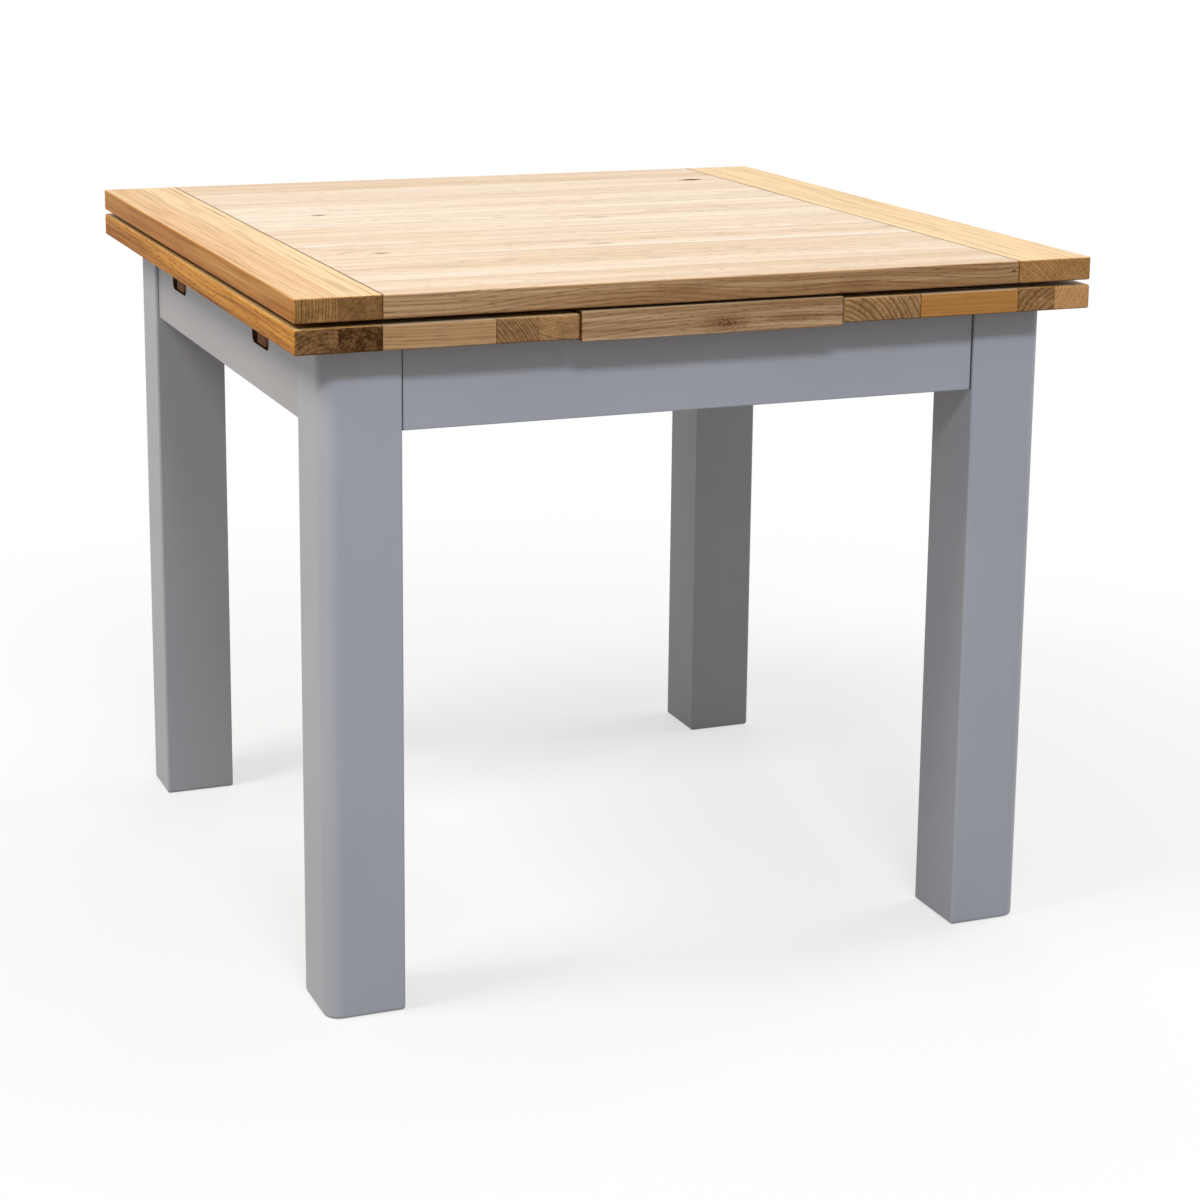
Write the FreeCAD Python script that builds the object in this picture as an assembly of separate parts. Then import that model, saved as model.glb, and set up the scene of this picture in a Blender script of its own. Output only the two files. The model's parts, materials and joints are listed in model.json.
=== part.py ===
"""Draw-leaf table: painted frame, two draw leaves on sloped lopers, a loose top.

Millimetres. X runs left to right, Y front to back, Z up; the floor is Z = 0.
The table is shown closed. Each leaf climbs out along X on its lopers until its
face is level with where the top rests.
"""
import FreeCAD
import Part
import math
import os

# Overall
top_width = 900.0
top_depth = 900.0
top_height = 775.0

# Top, leaves and centre board
top_thickness = 25.0
leaf_thickness = 26.0
leaf_gap = 5.5
pad_thickness = 3.0
leaf_clearance = 3.0
centre_width = 297.0
side_gap = 1.5
cleat_width = 90.0
panel_corner_radius = 4.0
panel_edge_radius = 2.0
leaf_edge_radius = 2.6
tongue_thickness = 8.0
tongue_width = 24.0
tongue_end = 30.0

# Frame
overhang = 36.0
leg_size = 86.0
leg_outer_radius = 18.0
leg_edge_radius = 3.0
foot_radius = 4.0
apron_height = 88.0
apron_thickness = 22.0
apron_recess = 4.0
apron_edge_radius = 1.5

# Corner blocks and their bolts
block_thickness = 25.0
block_height = 56.0
leg_flat = 14.0
bolt_diameter = 8.0
bolt_grip = 34.0
washer_diameter = 22.0
washer_thickness = 2.0
nut_diameter = 15.0
nut_height = 7.0
bolt_tail = 4.0

# Lopers, their notches and the cross rails
loper_width = 32.0
loper_inset = 260.0
loper_offset = 22.0
loper_recess = 1.0
loper_tail = 175.0
tail_depth = 27.0
notch_width = 70.0
notch_depth = 38.5
notch_radius = 10.0
rail_place = 200.0
rail_thickness = 20.0
rail_height = 66.0
rail_lift = 6.0
rail_housing = 8.0
run_clearance = 0.2
side_clearance = 1.5
pin_diameter = 10.0
pin_reach = 9.0
stop_clearance = 0.3

# Locating dowels and felt pads
dowel_diameter = 12.0
dowel_clearance = 1.5
dowel_seat = 22.0
dowel_reach = 17.0
dowel_spacing = 500.0
pad_diameter = 24.0

# Fixing blocks and screws
fix_block_size = 28.0
fix_block_length = 200.0
screw_diameter = 4.5
screw_head = 9.0
screw_head_height = 3.0
screw_bite = 14.0

# Shares of the panel width, front to back, taken by the boards
top_boards = (0.091, 0.092, 0.080, 0.100, 0.089, 0.088, 0.107, 0.129, 0.127, 0.097)
leaf_boards = (0.118, 0.104, 0.131, 0.096, 0.122, 0.109, 0.093, 0.127, 0.100)
centre_boards = (0.126, 0.098, 0.117, 0.109, 0.121, 0.095, 0.113, 0.106, 0.115)

# Levels
top_under = top_height - top_thickness
leaf_top = top_under - leaf_gap
leaf_under = leaf_top - leaf_thickness
centre_top = top_under - pad_thickness
centre_under = leaf_under - leaf_clearance
apron_under = centre_under - apron_height

# Places
half_width = top_width / 2
half_depth = top_depth / 2
leaf_width = (top_width - centre_width) / 2 - side_gap
leaf_inner = -(centre_width / 2 + side_gap)
base_x = half_width - overhang
base_y = half_depth - overhang
apron_x = base_x - apron_recess
apron_y = base_y - apron_recess
inside_x = apron_x - apron_thickness
inside_y = apron_y - apron_thickness

# Run of a leaf: out by its own width, up by the top and the gap
leaf_run = leaf_width
leaf_rise = top_thickness + leaf_gap
slope = leaf_rise / leaf_run

os.makedirs("parts", exist_ok=True)


def vec(x, y, z):
    return FreeCAD.Vector(x, y, z)


def box(x0, x1, y0, y1, z0, z1):
    return Part.makeBox(x1 - x0, y1 - y0, z1 - z0, vec(x0, y0, z0))


def rod(diameter, length, base, direction):
    return Part.makeCylinder(diameter / 2, length, base, direction)


def prism_y(points, y0, y1):
    """Solid from a side view in X and Z, running from y0 to y1."""
    corners = [vec(x, y0, z) for x, z in points]
    face = Part.Face(Part.makePolygon(corners + corners[:1]))
    return face.extrude(vec(0, y1 - y0, 0))


def prism_z(points, z0, z1):
    """Solid from a plan in X and Y, running from z0 to z1."""
    corners = [vec(x, y, z0) for x, y in points]
    face = Part.Face(Part.makePolygon(corners + corners[:1]))
    return face.extrude(vec(0, 0, z1 - z0))


def along(edge, axis):
    """True for a straight edge that runs along the axis given by number."""
    if not isinstance(edge.Curve, (Part.Line, Part.LineSegment)):
        return False
    ends = [v.Point for v in edge.Vertexes]
    span = ends[1] - ends[0]
    sizes = [abs(span.x), abs(span.y), abs(span.z)]
    return sizes[axis] > 1e-6 and sum(sizes) - sizes[axis] < 1e-6


def at_level(edge, z):
    return all(abs(v.Z - z) < 1e-6 for v in edge.Vertexes)


def turned(shape):
    """The same shape, turned half round about the table's upright axis."""
    copy = shape.copy()
    copy.rotate(vec(0, 0, 0), vec(0, 0, 1), 180)
    return copy


def cut_all(shape, tools):
    return shape.cut(Part.makeCompound(tools)) if tools else shape


def save(name, shapes):
    """Write one node: a single solid, or a group of like pieces."""
    solids = []
    for shape in shapes:
        solids.extend(shape.Solids)
    whole = solids[0] if len(solids) == 1 else Part.makeCompound(solids)
    whole.exportStep("parts/" + name + ".step")


def rounded_slab(x0, x1, y0, y1, z0, z1, corner, upper, lower):
    """Panel with rounded upright corners and eased upper and lower edges."""
    slab = box(x0, x1, y0, y1, z0, z1)
    slab = slab.makeFillet(corner, [e for e in slab.Edges if along(e, 2)])
    slab = slab.makeFillet(upper, [e for e in slab.Edges if at_level(e, z1)])
    return slab.makeFillet(lower, [e for e in slab.Edges if at_level(e, z0)])


def strip(shape, x0, x1, y0, y1):
    box_around = shape.BoundBox
    return shape.common(box(x0, x1, y0, y1, box_around.ZMin - 1, box_around.ZMax + 1))


def board_lines(shares, depth):
    """Y places of the board joints, front to back, from shares of the depth."""
    total = sum(shares)
    place = -depth / 2
    lines = [place - 1]
    for share in shares[:-1]:
        place += depth * share / total
        lines.append(place)
    lines.append(depth / 2 + 1)
    return lines


def split_boards(shape, x0, x1, shares, depth):
    lines = board_lines(shares, depth)
    return [strip(shape, x0, x1, a, b) for a, b in zip(lines[:-1], lines[1:])]


def split_cleat(shape, x0, x1, count):
    """A cleat glued up from strips of one width."""
    step = (x1 - x0) / count
    reach = top_depth
    return [strip(shape, x0 + i * step, x0 + (i + 1) * step, -reach, reach) for i in range(count)]


def tongue(x, z_middle):
    half = tongue_width / 2
    y = half_depth - tongue_end
    return box(x - half, x + half, -y, y, z_middle - tongue_thickness / 2, z_middle + tongue_thickness / 2)


def screw(base, direction, length):
    """Wood screw: flat head starting at base, shank along the direction."""
    unit = FreeCAD.Vector(direction).normalize()
    head = rod(screw_head, screw_head_height, base, unit)
    shank = rod(screw_diameter, length - screw_head_height, base + unit * screw_head_height, unit)
    return head.fuse(shank).removeSplitter()


def entry(base, direction, depth):
    """Clear way for a screw head, ending where the head starts."""
    unit = FreeCAD.Vector(direction).normalize()
    return rod(screw_head, depth, base - unit * depth, unit)


# Locating dowels: stand in the centre board, reach into the top
dowels = []
dowel_seats = []
dowel_holes = []
hole_diameter = dowel_diameter + 2 * dowel_clearance
for side in (-1, 1):
    y = side * dowel_spacing / 2
    foot = centre_top - dowel_seat
    length = dowel_seat + pad_thickness + dowel_reach
    dowels.append(rod(dowel_diameter, length, vec(0, y, foot), vec(0, 0, 1)))
    dowel_seats.append(rod(hole_diameter, dowel_seat + 1, vec(0, y, foot), vec(0, 0, 1)))
    dowel_holes.append(rod(hole_diameter, dowel_reach + 2, vec(0, y, top_under - 1), vec(0, 0, 1)))
save("locating_dowels", dowels)

# Top
top_slab = rounded_slab(-half_width, half_width, -half_depth, half_depth, top_under, top_height,
                        panel_corner_radius, panel_edge_radius, panel_edge_radius)
cleat_line = half_width - cleat_width
top_tongues = [tongue(side * cleat_line, top_under + top_thickness / 2) for side in (-1, 1)]
top_slab = cut_all(top_slab, top_tongues + dowel_holes)
save("top_boards", split_boards(top_slab, -cleat_line, cleat_line, top_boards, top_depth))
save("top_cleat_left", split_cleat(top_slab, -half_width, -cleat_line, 2))
save("top_cleat_right", split_cleat(top_slab, cleat_line, half_width, 1))
save("top_tongues", top_tongues)


# Loper: level along the leaf, sloped underneath, tail held down by the centre board
def loper_under(x):
    """Height of the running edge, which slides over the notch floor."""
    return centre_under - notch_depth + run_clearance - slope * (x + inside_x)


def tail_top(x):
    """Height of the tail's upper edge, which slides under the centre board."""
    return centre_under - run_clearance - slope * (x + centre_width / 2)


loper_end = -(apron_x - loper_recess)
shoulder = leaf_inner - side_gap
trim_start = -rail_place + rail_thickness / 2 + 0.93 * leaf_run
tail_under = tail_top(loper_tail) - tail_depth
loper_view = [(loper_end, leaf_under), (shoulder, leaf_under), (shoulder, tail_top(shoulder)),
              (loper_tail, tail_top(loper_tail)), (loper_tail, tail_under),
              (trim_start, loper_under(trim_start)), (loper_end, loper_under(loper_end))]
loper_reach = half_depth - loper_inset
loper_y = (loper_offset - loper_reach, loper_offset + loper_reach)
pin_x = -rail_place + rail_thickness / 2 + leaf_run + pin_diameter / 2 + stop_clearance
pin_z = tail_top(pin_x) - tail_depth

leaf_slab = rounded_slab(-half_width, leaf_inner, -half_depth, half_depth, leaf_under, leaf_top,
                         panel_corner_radius, leaf_edge_radius, panel_edge_radius)
outer_line = -half_width + cleat_width
inner_line = leaf_inner - cleat_width
leaf_middle = leaf_under + leaf_thickness / 2
leaf_tongues = [tongue(x, leaf_middle) for x in (outer_line, inner_line)]
screw_x = (outer_line + cleat_width / 4, (outer_line + inner_line) / 2, inner_line - cleat_width / 4)
leaf_screws = []
loper_bores = []
for y in loper_y:
    for x in screw_x:
        head_base = vec(x, y, leaf_under - screw_bite)
        leaf_screws.append(screw(head_base, vec(0, 0, 1), 2 * screw_bite - 2))
        loper_bores.append(entry(head_base, vec(0, 0, 1), leaf_under - screw_bite - loper_under(x) + 1))
pins = []
for y in loper_y:
    pin_length = loper_width / 2 + pin_reach
    pins.append(rod(pin_diameter, pin_length, vec(pin_x, y, pin_z), vec(0, 1, 0)))
lopers = []
for y in loper_y:
    bar = prism_y(loper_view, y - loper_width / 2, y + loper_width / 2)
    lopers.append(cut_all(bar, leaf_screws + loper_bores + pins))
leaf_slab = cut_all(leaf_slab, leaf_tongues + leaf_screws)
leaf_panel = split_boards(leaf_slab, outer_line, inner_line, leaf_boards, top_depth)
leaf_outer = split_cleat(leaf_slab, -half_width, outer_line, 2)
left_inner = split_cleat(leaf_slab, inner_line, leaf_inner, 2)
right_inner = split_cleat(leaf_slab, inner_line, leaf_inner, 1)

save("left_leaf_boards", leaf_panel)
save("left_leaf_outer_cleat", leaf_outer)
save("left_leaf_inner_cleat", left_inner)
save("left_leaf_tongues", leaf_tongues)
save("left_loper_front", [lopers[0]])
save("left_loper_back", [lopers[1]])
save("left_leaf_screws", leaf_screws)
save("left_stop_pins", pins)

# The right leaf is the left one turned half round
save("right_leaf_boards", [turned(s) for s in leaf_panel])
save("right_leaf_outer_cleat", [turned(s) for s in leaf_outer])
save("right_leaf_inner_cleat", [turned(s) for s in right_inner])
save("right_leaf_tongues", [turned(s) for s in leaf_tongues])
save("right_loper_front", [turned(lopers[1])])
save("right_loper_back", [turned(lopers[0])])
save("right_leaf_screws", [turned(s) for s in leaf_screws])
save("right_stop_pins", [turned(s) for s in pins])

# Cross rails: a notch for each of the two lopers that run over them
rail_inner = -rail_place + rail_thickness / 2
rail_outer = -rail_place - rail_thickness / 2
rail_floor = loper_under(rail_inner) - run_clearance
rail_end = inside_y + rail_housing
rail_under = apron_under + rail_lift
rail = box(rail_outer, rail_inner, -rail_end, rail_end, rail_under, rail_under + rail_height)
rail_gap = loper_width / 2 + side_clearance
for y in loper_y:
    rail = rail.cut(box(rail_outer - 1, rail_inner + 1, y - rail_gap, y + rail_gap,
                        rail_floor, rail_under + rail_height + 1))
save("cross_rail_left", [rail])
save("cross_rail_right", [turned(rail)])

# Fixing blocks and screws of the centre board
fix_blocks = []
fix_screws = []
fix_ways = []
for side in (-1, 1):
    y_wall = side * inside_y
    y_free = y_wall - side * fix_block_size
    y0, y1 = sorted((y_wall, y_free))
    block = box(-fix_block_length / 2, fix_block_length / 2, y0, y1, centre_under - fix_block_size, centre_under)
    own = []
    for x in (-fix_block_length * 0.3, fix_block_length * 0.3):
        up_base = vec(x, (y0 + y1) / 2, centre_under - screw_bite)
        own.append(screw(up_base, vec(0, 0, 1), 2 * screw_bite))
        fix_ways.append(entry(up_base, vec(0, 0, 1), fix_block_size - screw_bite + 1))
        side_base = vec(x * 0.5, y_wall - side * screw_bite, centre_under - fix_block_size / 2)
        own.append(screw(side_base, vec(0, side, 0), 2 * screw_bite))
        fix_ways.append(entry(side_base, vec(0, side, 0), fix_block_size - screw_bite + 1))
    fix_screws.extend(own)
    fix_blocks.append(block)
save("fixing_block_front", [cut_all(fix_blocks[0], fix_screws + fix_ways)])
save("fixing_block_back", [cut_all(fix_blocks[1], fix_screws + fix_ways)])
save("fixing_screws", fix_screws)

# Centre board and its felt pads
centre_x = centre_width / 2
centre_slab = rounded_slab(-centre_x, centre_x, -half_depth, half_depth, centre_under, centre_top,
                           panel_edge_radius + 0.5, panel_edge_radius, panel_edge_radius / 2)
centre_slab = cut_all(centre_slab, dowel_seats + fix_screws)
save("centre_board", split_boards(centre_slab, -centre_x, centre_x, centre_boards, top_depth))
pads = []
for sx in (-1, 1):
    for sy in (-1, 1):
        place = vec(sx * centre_x * 0.77, sy * half_depth * 0.87, centre_top)
        pads.append(rod(pad_diameter, pad_thickness, place, vec(0, 0, 1)))
save("felt_pads", pads)

# Corner blocks, with a bolt into each leg
block_low = (apron_under + centre_under - block_height) / 2
block_middle = block_low + block_height / 2
corner_x = base_x - leg_size
corner_y = base_y - leg_size
face_sum = corner_x + corner_y + leg_flat
inner_sum = face_sum - block_thickness * math.sqrt(2)
block_plan = [(face_sum - inside_y, inside_y), (inner_sum - inside_y, inside_y),
              (inside_x, inner_sum - inside_x), (inside_x, face_sum - inside_x)]
inward = vec(-1, -1, 0).normalize()
bolt_point = vec(corner_x + leg_flat / 2, corner_y + leg_flat / 2, block_middle)
stack = block_thickness + washer_thickness + nut_height + bolt_tail
names = {(-1, -1): "front_left", (1, -1): "front_right", (-1, 1): "back_left", (1, 1): "back_right"}

corner = prism_z(block_plan, block_low, block_low + block_height)
bolt = rod(bolt_diameter, bolt_grip + stack, bolt_point - inward * bolt_grip, inward)
washer = rod(washer_diameter, washer_thickness, bolt_point + inward * block_thickness, inward)
nut_base = bolt_point + inward * (block_thickness + washer_thickness)
nut_points = []
sideways = vec(1, -1, 0).normalize()
for i in range(7):
    angle = math.radians(60 * i)
    offset = sideways * math.cos(angle) + vec(0, 0, math.sin(angle))
    nut_points.append(nut_base + offset * (nut_diameter / 2))
nut = Part.Face(Part.makePolygon(nut_points)).extrude(inward * nut_height)
corner_screws = []
corner_ways = []
for z in (block_middle - block_height / 4, block_middle + block_height / 4):
    toward_y = vec((face_sum + inner_sum) / 2 - inside_y, inside_y - screw_bite, z)
    toward_x = vec(inside_x - screw_bite, (face_sum + inner_sum) / 2 - inside_x, z)
    for base, way in ((toward_y, vec(0, 1, 0)), (toward_x, vec(1, 0, 0))):
        corner_screws.append(screw(base, way, 2 * screw_bite))
        corner_ways.append(entry(base, way, block_thickness * 2))
corner = cut_all(corner, [bolt] + corner_screws + corner_ways)
washer = washer.cut(bolt)
nut = nut.cut(bolt)


def in_corner(shape, sx, sy):
    """The back right corner's shape, moved to another corner by mirroring."""
    copy = shape.copy()
    if sx < 0:
        copy = copy.mirror(vec(0, 0, 0), vec(1, 0, 0))
    if sy < 0:
        copy = copy.mirror(vec(0, 0, 0), vec(0, 1, 0))
    return copy


# Legs: one well-rounded outer corner, eased edges, a flat for the corner block
leg = box(corner_x, base_x, corner_y, base_y, 0, centre_under)
uprights = [e for e in leg.Edges if along(e, 2)]
outer = [e for e in uprights if e.Vertexes[0].X > base_x - 1 and e.Vertexes[0].Y > base_y - 1]
inner = [e for e in uprights if e.Vertexes[0].X < corner_x + 1 and e.Vertexes[0].Y < corner_y + 1]
middle = [e for e in uprights if not any(e.isSame(o) for o in outer + inner)]
leg = leg.makeFillet(leg_outer_radius, outer)
middle = [e for e in leg.Edges if along(e, 2) and any(
    abs(e.Vertexes[0].X - m.Vertexes[0].X) + abs(e.Vertexes[0].Y - m.Vertexes[0].Y) < 1e-6 for m in middle)]
leg = leg.makeFillet(leg_edge_radius, middle)
leg = leg.makeFillet(foot_radius, [e for e in leg.Edges if at_level(e, 0)])
flat_plan = [(corner_x - 1, corner_y - 1), (corner_x + leg_flat + 1, corner_y - 1),
             (corner_x - 1, corner_y + leg_flat + 1)]
leg = leg.cut(prism_z(flat_plan, block_low - 2, centre_under + 1))
leg = leg.cut(bolt)

corner_bolts = []
corner_washers = []
corner_nuts = []
all_corner_screws = []
for (sx, sy), name in names.items():
    save("leg_" + name, [in_corner(leg, sx, sy)])
    save("corner_block_" + name, [in_corner(corner, sx, sy)])
    corner_bolts.append(in_corner(bolt, sx, sy))
    corner_washers.append(in_corner(washer, sx, sy))
    corner_nuts.append(in_corner(nut, sx, sy))
    all_corner_screws.extend(in_corner(s, sx, sy) for s in corner_screws)
save("leg_bolts", corner_bolts)
save("leg_bolt_washers", corner_washers)
save("leg_bolt_nuts", corner_nuts)
save("corner_block_screws", all_corner_screws)

# Aprons between the legs; the left and right ones carry the loper notches
rails = [rail, turned(rail)]
apron_span = base_x - leg_size
front = box(-apron_span, apron_span, -apron_y, -inside_y, apron_under, centre_under)
front = front.makeFillet(apron_edge_radius, [e for e in front.Edges if along(e, 0) and at_level(e, apron_under)])
back = turned(front)
save("apron_front", [cut_all(front, rails + fix_screws + all_corner_screws)])
save("apron_back", [cut_all(back, rails + fix_screws + all_corner_screws)])
end_span = base_y - leg_size
left = box(-apron_x, -inside_x, -end_span, end_span, apron_under, centre_under)
left = left.makeFillet(apron_edge_radius, [e for e in left.Edges if along(e, 1) and at_level(e, apron_under)])
notch_floor = centre_under - notch_depth
for y in loper_y:
    notch = box(-apron_x - 1, -inside_x + 1, y - notch_width / 2, y + notch_width / 2,
                notch_floor, centre_under + notch_radius)
    notch = notch.makeFillet(notch_radius, [e for e in notch.Edges if along(e, 0) and at_level(e, notch_floor)])
    left = left.cut(notch)
right = turned(left)
save("apron_left", [cut_all(left, all_corner_screws)])
save("apron_right", [cut_all(right, all_corner_screws)])
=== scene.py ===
"""Looks of the draw-leaf table: lacquered oak over a painted frame.

Blender's lengths are metres. X runs left to right, Y front to back, Z up, and the floor is
Z = 0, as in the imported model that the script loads. Sizes of pieces and patterns are given
in millimetres, and lamps and camera in metres.
"""

from __future__ import annotations

import json
import logging
import math
import random
from collections.abc import Callable
from dataclasses import dataclass, field
from enum import Enum

import bpy
from mathutils import Matrix, Vector

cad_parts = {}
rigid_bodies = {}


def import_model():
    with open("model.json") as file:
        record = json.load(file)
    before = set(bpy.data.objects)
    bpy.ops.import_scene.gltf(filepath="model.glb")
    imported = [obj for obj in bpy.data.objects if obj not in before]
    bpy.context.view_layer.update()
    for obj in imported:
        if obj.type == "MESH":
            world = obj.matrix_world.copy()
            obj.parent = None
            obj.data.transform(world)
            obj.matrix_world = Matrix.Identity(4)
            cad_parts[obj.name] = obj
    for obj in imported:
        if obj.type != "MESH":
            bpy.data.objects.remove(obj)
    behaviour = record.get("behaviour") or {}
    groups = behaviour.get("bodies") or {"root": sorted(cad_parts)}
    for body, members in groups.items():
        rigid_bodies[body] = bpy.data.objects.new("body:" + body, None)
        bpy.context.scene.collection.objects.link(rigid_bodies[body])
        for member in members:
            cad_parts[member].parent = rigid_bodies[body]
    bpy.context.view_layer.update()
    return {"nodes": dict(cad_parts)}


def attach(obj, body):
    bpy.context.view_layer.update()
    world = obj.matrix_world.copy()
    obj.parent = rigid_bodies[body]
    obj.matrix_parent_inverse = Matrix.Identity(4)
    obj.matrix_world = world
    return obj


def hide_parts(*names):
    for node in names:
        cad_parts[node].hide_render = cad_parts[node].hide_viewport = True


LOG = logging.getLogger("draw_leaf_table")
MM = 0.001
# Further out than any board, in metres
FAR_AWAY = 9.0
# Points closer than this become one, in metres
MERGE_SPAN = 0.001 * MM
# Edges flatter than this are shaded round, in degrees
SMOOTH_ANGLE = 35.0
# Part of a normal along an axis at which a face starts to look that way, and does so in full
FACE_TURN = (0.5, 0.85)
NOISE_MIDDLE = 0.5
WHITE = (1.0, 1.0, 1.0, 1.0)
# Inputs of a Mix node that mixes colours, and its output
SHARE = 0
UNDER = 6
OVER = 7
MIXED = 2
# Limits of the boards' random figure: heart and ring width in millimetres, shift in metres
HEART_ASIDE = 45.0
HEART_DEPTH = (35.0, 120.0)
RING_WIDTH = (2.6, 4.6)
FIGURE_SHIFT = (1.0, 40.0)
BOARD_END_TONE = 0.5
CORNERS = ("front_left", "front_right", "back_left", "back_right")

Pair = tuple[float, float]
Triple = tuple[float, float, float]
Profile = tuple[Pair, ...]
Node = bpy.types.Node
Socket = bpy.types.NodeSocket
Tree = bpy.types.NodeTree
Feed = float | tuple[float, ...] | Node | Socket
Nodes = dict[str, bpy.types.Object]


class Grain(Enum):
    """Axis that a piece's grain runs along."""

    ALONG_X = 0
    ALONG_Y = 1
    ALONG_Z = 2


class Side(Enum):
    """End of the table that a draw leaf comes out of."""

    LEFT = -1
    RIGHT = 1


class Combine(Enum):
    """How two solids are brought together."""

    FUSE = "UNION"
    CUT = "DIFFERENCE"
    TRIM = "INTERSECT"


class Kind(Enum):
    """Kinds of node, with Blender's names for them."""

    BACKGROUND = "ShaderNodeBackground"
    BUMP = "ShaderNodeBump"
    COORDINATES = "ShaderNodeTexCoord"
    DIFFUSE = "ShaderNodeBsdfDiffuse"
    EMISSION = "ShaderNodeEmission"
    JOIN = "ShaderNodeCombineXYZ"
    LIGHT_PATH = "ShaderNodeLightPath"
    MATH = "ShaderNodeMath"
    MIX = "ShaderNodeMix"
    MIX_SHADER = "ShaderNodeMixShader"
    NOISE = "ShaderNodeTexNoise"
    OUTPUT = "ShaderNodeOutputMaterial"
    PRINCIPLED = "ShaderNodeBsdfPrincipled"
    RANGE = "ShaderNodeMapRange"
    SPLIT = "ShaderNodeSeparateXYZ"
    VECTOR = "ShaderNodeVectorMath"
    WORLD_OUTPUT = "ShaderNodeOutputWorld"


def linear(hex_colour: str) -> tuple[float, float, float, float]:
    """Turn an sRGB hex colour into linear values.

    Args:
        hex_colour: Colour as "#rrggbb".

    Returns:
        Linear red, green, blue and an alpha of 1.
    """
    parts = [int(hex_colour[i : i + 2], 16) / 255 for i in (1, 3, 5)]
    red, green, blue = (c / 12.92 if c <= 0.04045 else ((c + 0.055) / 1.055) ** 2.4 for c in parts)
    return red, green, blue, 1.0


def add_node(tree: Tree, kind: Kind, feeds: dict[str | int, Feed], **settings: object) -> Node:
    """Add one node with its settings, values and links.

    Args:
        tree: Node tree that takes the node.
        kind: Kind of node.
        feeds: For each input, by name or number: a value, a socket, or a node whose first
            output is meant.
        settings: Attributes to set before the inputs.

    Returns:
        The new node.
    """
    node = tree.nodes.new(kind.value)
    for name, value in settings.items():
        setattr(node, name, value)
    for key, value in feeds.items():
        if isinstance(value, Node):
            tree.links.new(value.outputs[0], node.inputs[key])
        elif isinstance(value, Socket):
            tree.links.new(value, node.inputs[key])
        else:
            node.inputs[key].default_value = value
    return node


def new_material(name: str) -> bpy.types.Material:
    """Make an empty node material.

    Args:
        name: Name of the material.

    Returns:
        The material.
    """
    material = bpy.data.materials.new(name)
    material.use_nodes = True
    material.node_tree.nodes.clear()
    return material


def close_material(tree: Tree, feeds: dict[str | int, Feed], height: Node, depth: float) -> None:
    """End a material in one shader with a bump and an output.

    Args:
        tree: Node tree of the material.
        feeds: Inputs of the shader.
        height: Surface height from 0 to 1 for the bump.
        depth: Depth of the bump in millimetres.
    """
    bump = add_node(tree, Kind.BUMP, {"Height": height, "Strength": 1.0, "Distance": depth * MM})
    shader = add_node(tree, Kind.PRINCIPLED, {**feeds, "Normal": bump})
    add_node(tree, Kind.OUTPUT, {"Surface": shader})


def drawn_noise(tree: Tree, place: Node | Socket, grain: Grain, size: Pair, detail: float) -> Node:
    """Noise drawn out along the grain.

    Args:
        tree: Node tree of the material.
        place: Object coordinates.
        grain: Axis of the grain.
        size: Length of a feature along the grain and its width, in millimetres.
        detail: Octaves of the noise.

    Returns:
        The noise, from 0 to 1.
    """
    length, width = size
    counts = [1 / (width * MM)] * 3
    counts[grain.value] = 1 / (length * MM)
    drawn = add_node(tree, Kind.VECTOR, {0: place, 1: tuple(counts)}, operation="MULTIPLY")
    return add_node(tree, Kind.NOISE, {"Vector": drawn, "Scale": 1.0, "Detail": detail})


@dataclass(frozen=True)
class Knot:
    """A knot in an oak board.

    Attributes:
        place: Its middle, in millimetres.
        size: Its half sizes, in millimetres.
        strength: Depth of its colour, from 0 to 1.
        swirl: How far it bends the rings round it, in millimetres.
        torn: Raggedness of its rim.
    """

    place: Triple
    size: Triple
    strength: float
    swirl: float
    torn: float = 0.8


@dataclass(frozen=True)
class Strip:
    """One board of a glued-up panel, with places in millimetres.

    Attributes:
        start: Place of its front or left edge.
        end: Place of its back or right edge.
        heart: Place of the tree's heart across and up, from the middle of the strip.
        tone: Share of the deeper colour on faces, from 0 to 1.
        end_tone: Share of the darker colour on end grain. Below 0 it is paler still.
        ring: Width of a year's ring.
        shift: Sets this strip's figure apart from the others, in metres.
    """

    start: float
    end: float
    heart: Pair
    tone: float
    end_tone: float
    ring: float
    shift: float


@dataclass(frozen=True)
class Panel:
    """A glued-up oak panel or cleat, with places in millimetres.

    Attributes:
        node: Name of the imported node.
        grain: Axis of the grain, X or Y.
        strips: Boards in order across the grain.
        level: Height of the panel's middle.
        ends: Where it meets cleats along the grain.
        knots: Knots in it.
        seams: How far the glue lines show.
    """

    node: str
    grain: Grain
    strips: list[Strip]
    level: float
    ends: tuple[float, ...] = ()
    knots: tuple[Knot, ...] = ()
    seams: float = 1.0


@dataclass(frozen=True)
class Bearings:
    """Where a point lies in an oak panel, as links in the panel's material.

    Attributes:
        place: Object coordinates.
        own_place: The same, set apart for each strip.
        along: Place along the grain, in metres.
        across: Place across the grain, in metres.
        line: Place along the grain, set apart for each strip.
        section: Place across the grain and up.
        upward: How far the face looks up, from -1 to 1.
        down: Share of a face that looks down, which takes painted shade.
        flat: Share of a level face.
        end: Share of an end-grain face.
        sides: Splits the joint lines at the strip's two sides.
        heart: Splits the heart's place and the strip's shift.
        grade: Splits the strip's two tones and its ring width.
    """

    place: Socket
    own_place: Node
    along: Socket
    across: Socket
    line: Node
    section: Node
    upward: Socket
    down: Node
    flat: Node
    end: Node
    sides: Node
    heart: Node
    grade: Node


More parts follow.
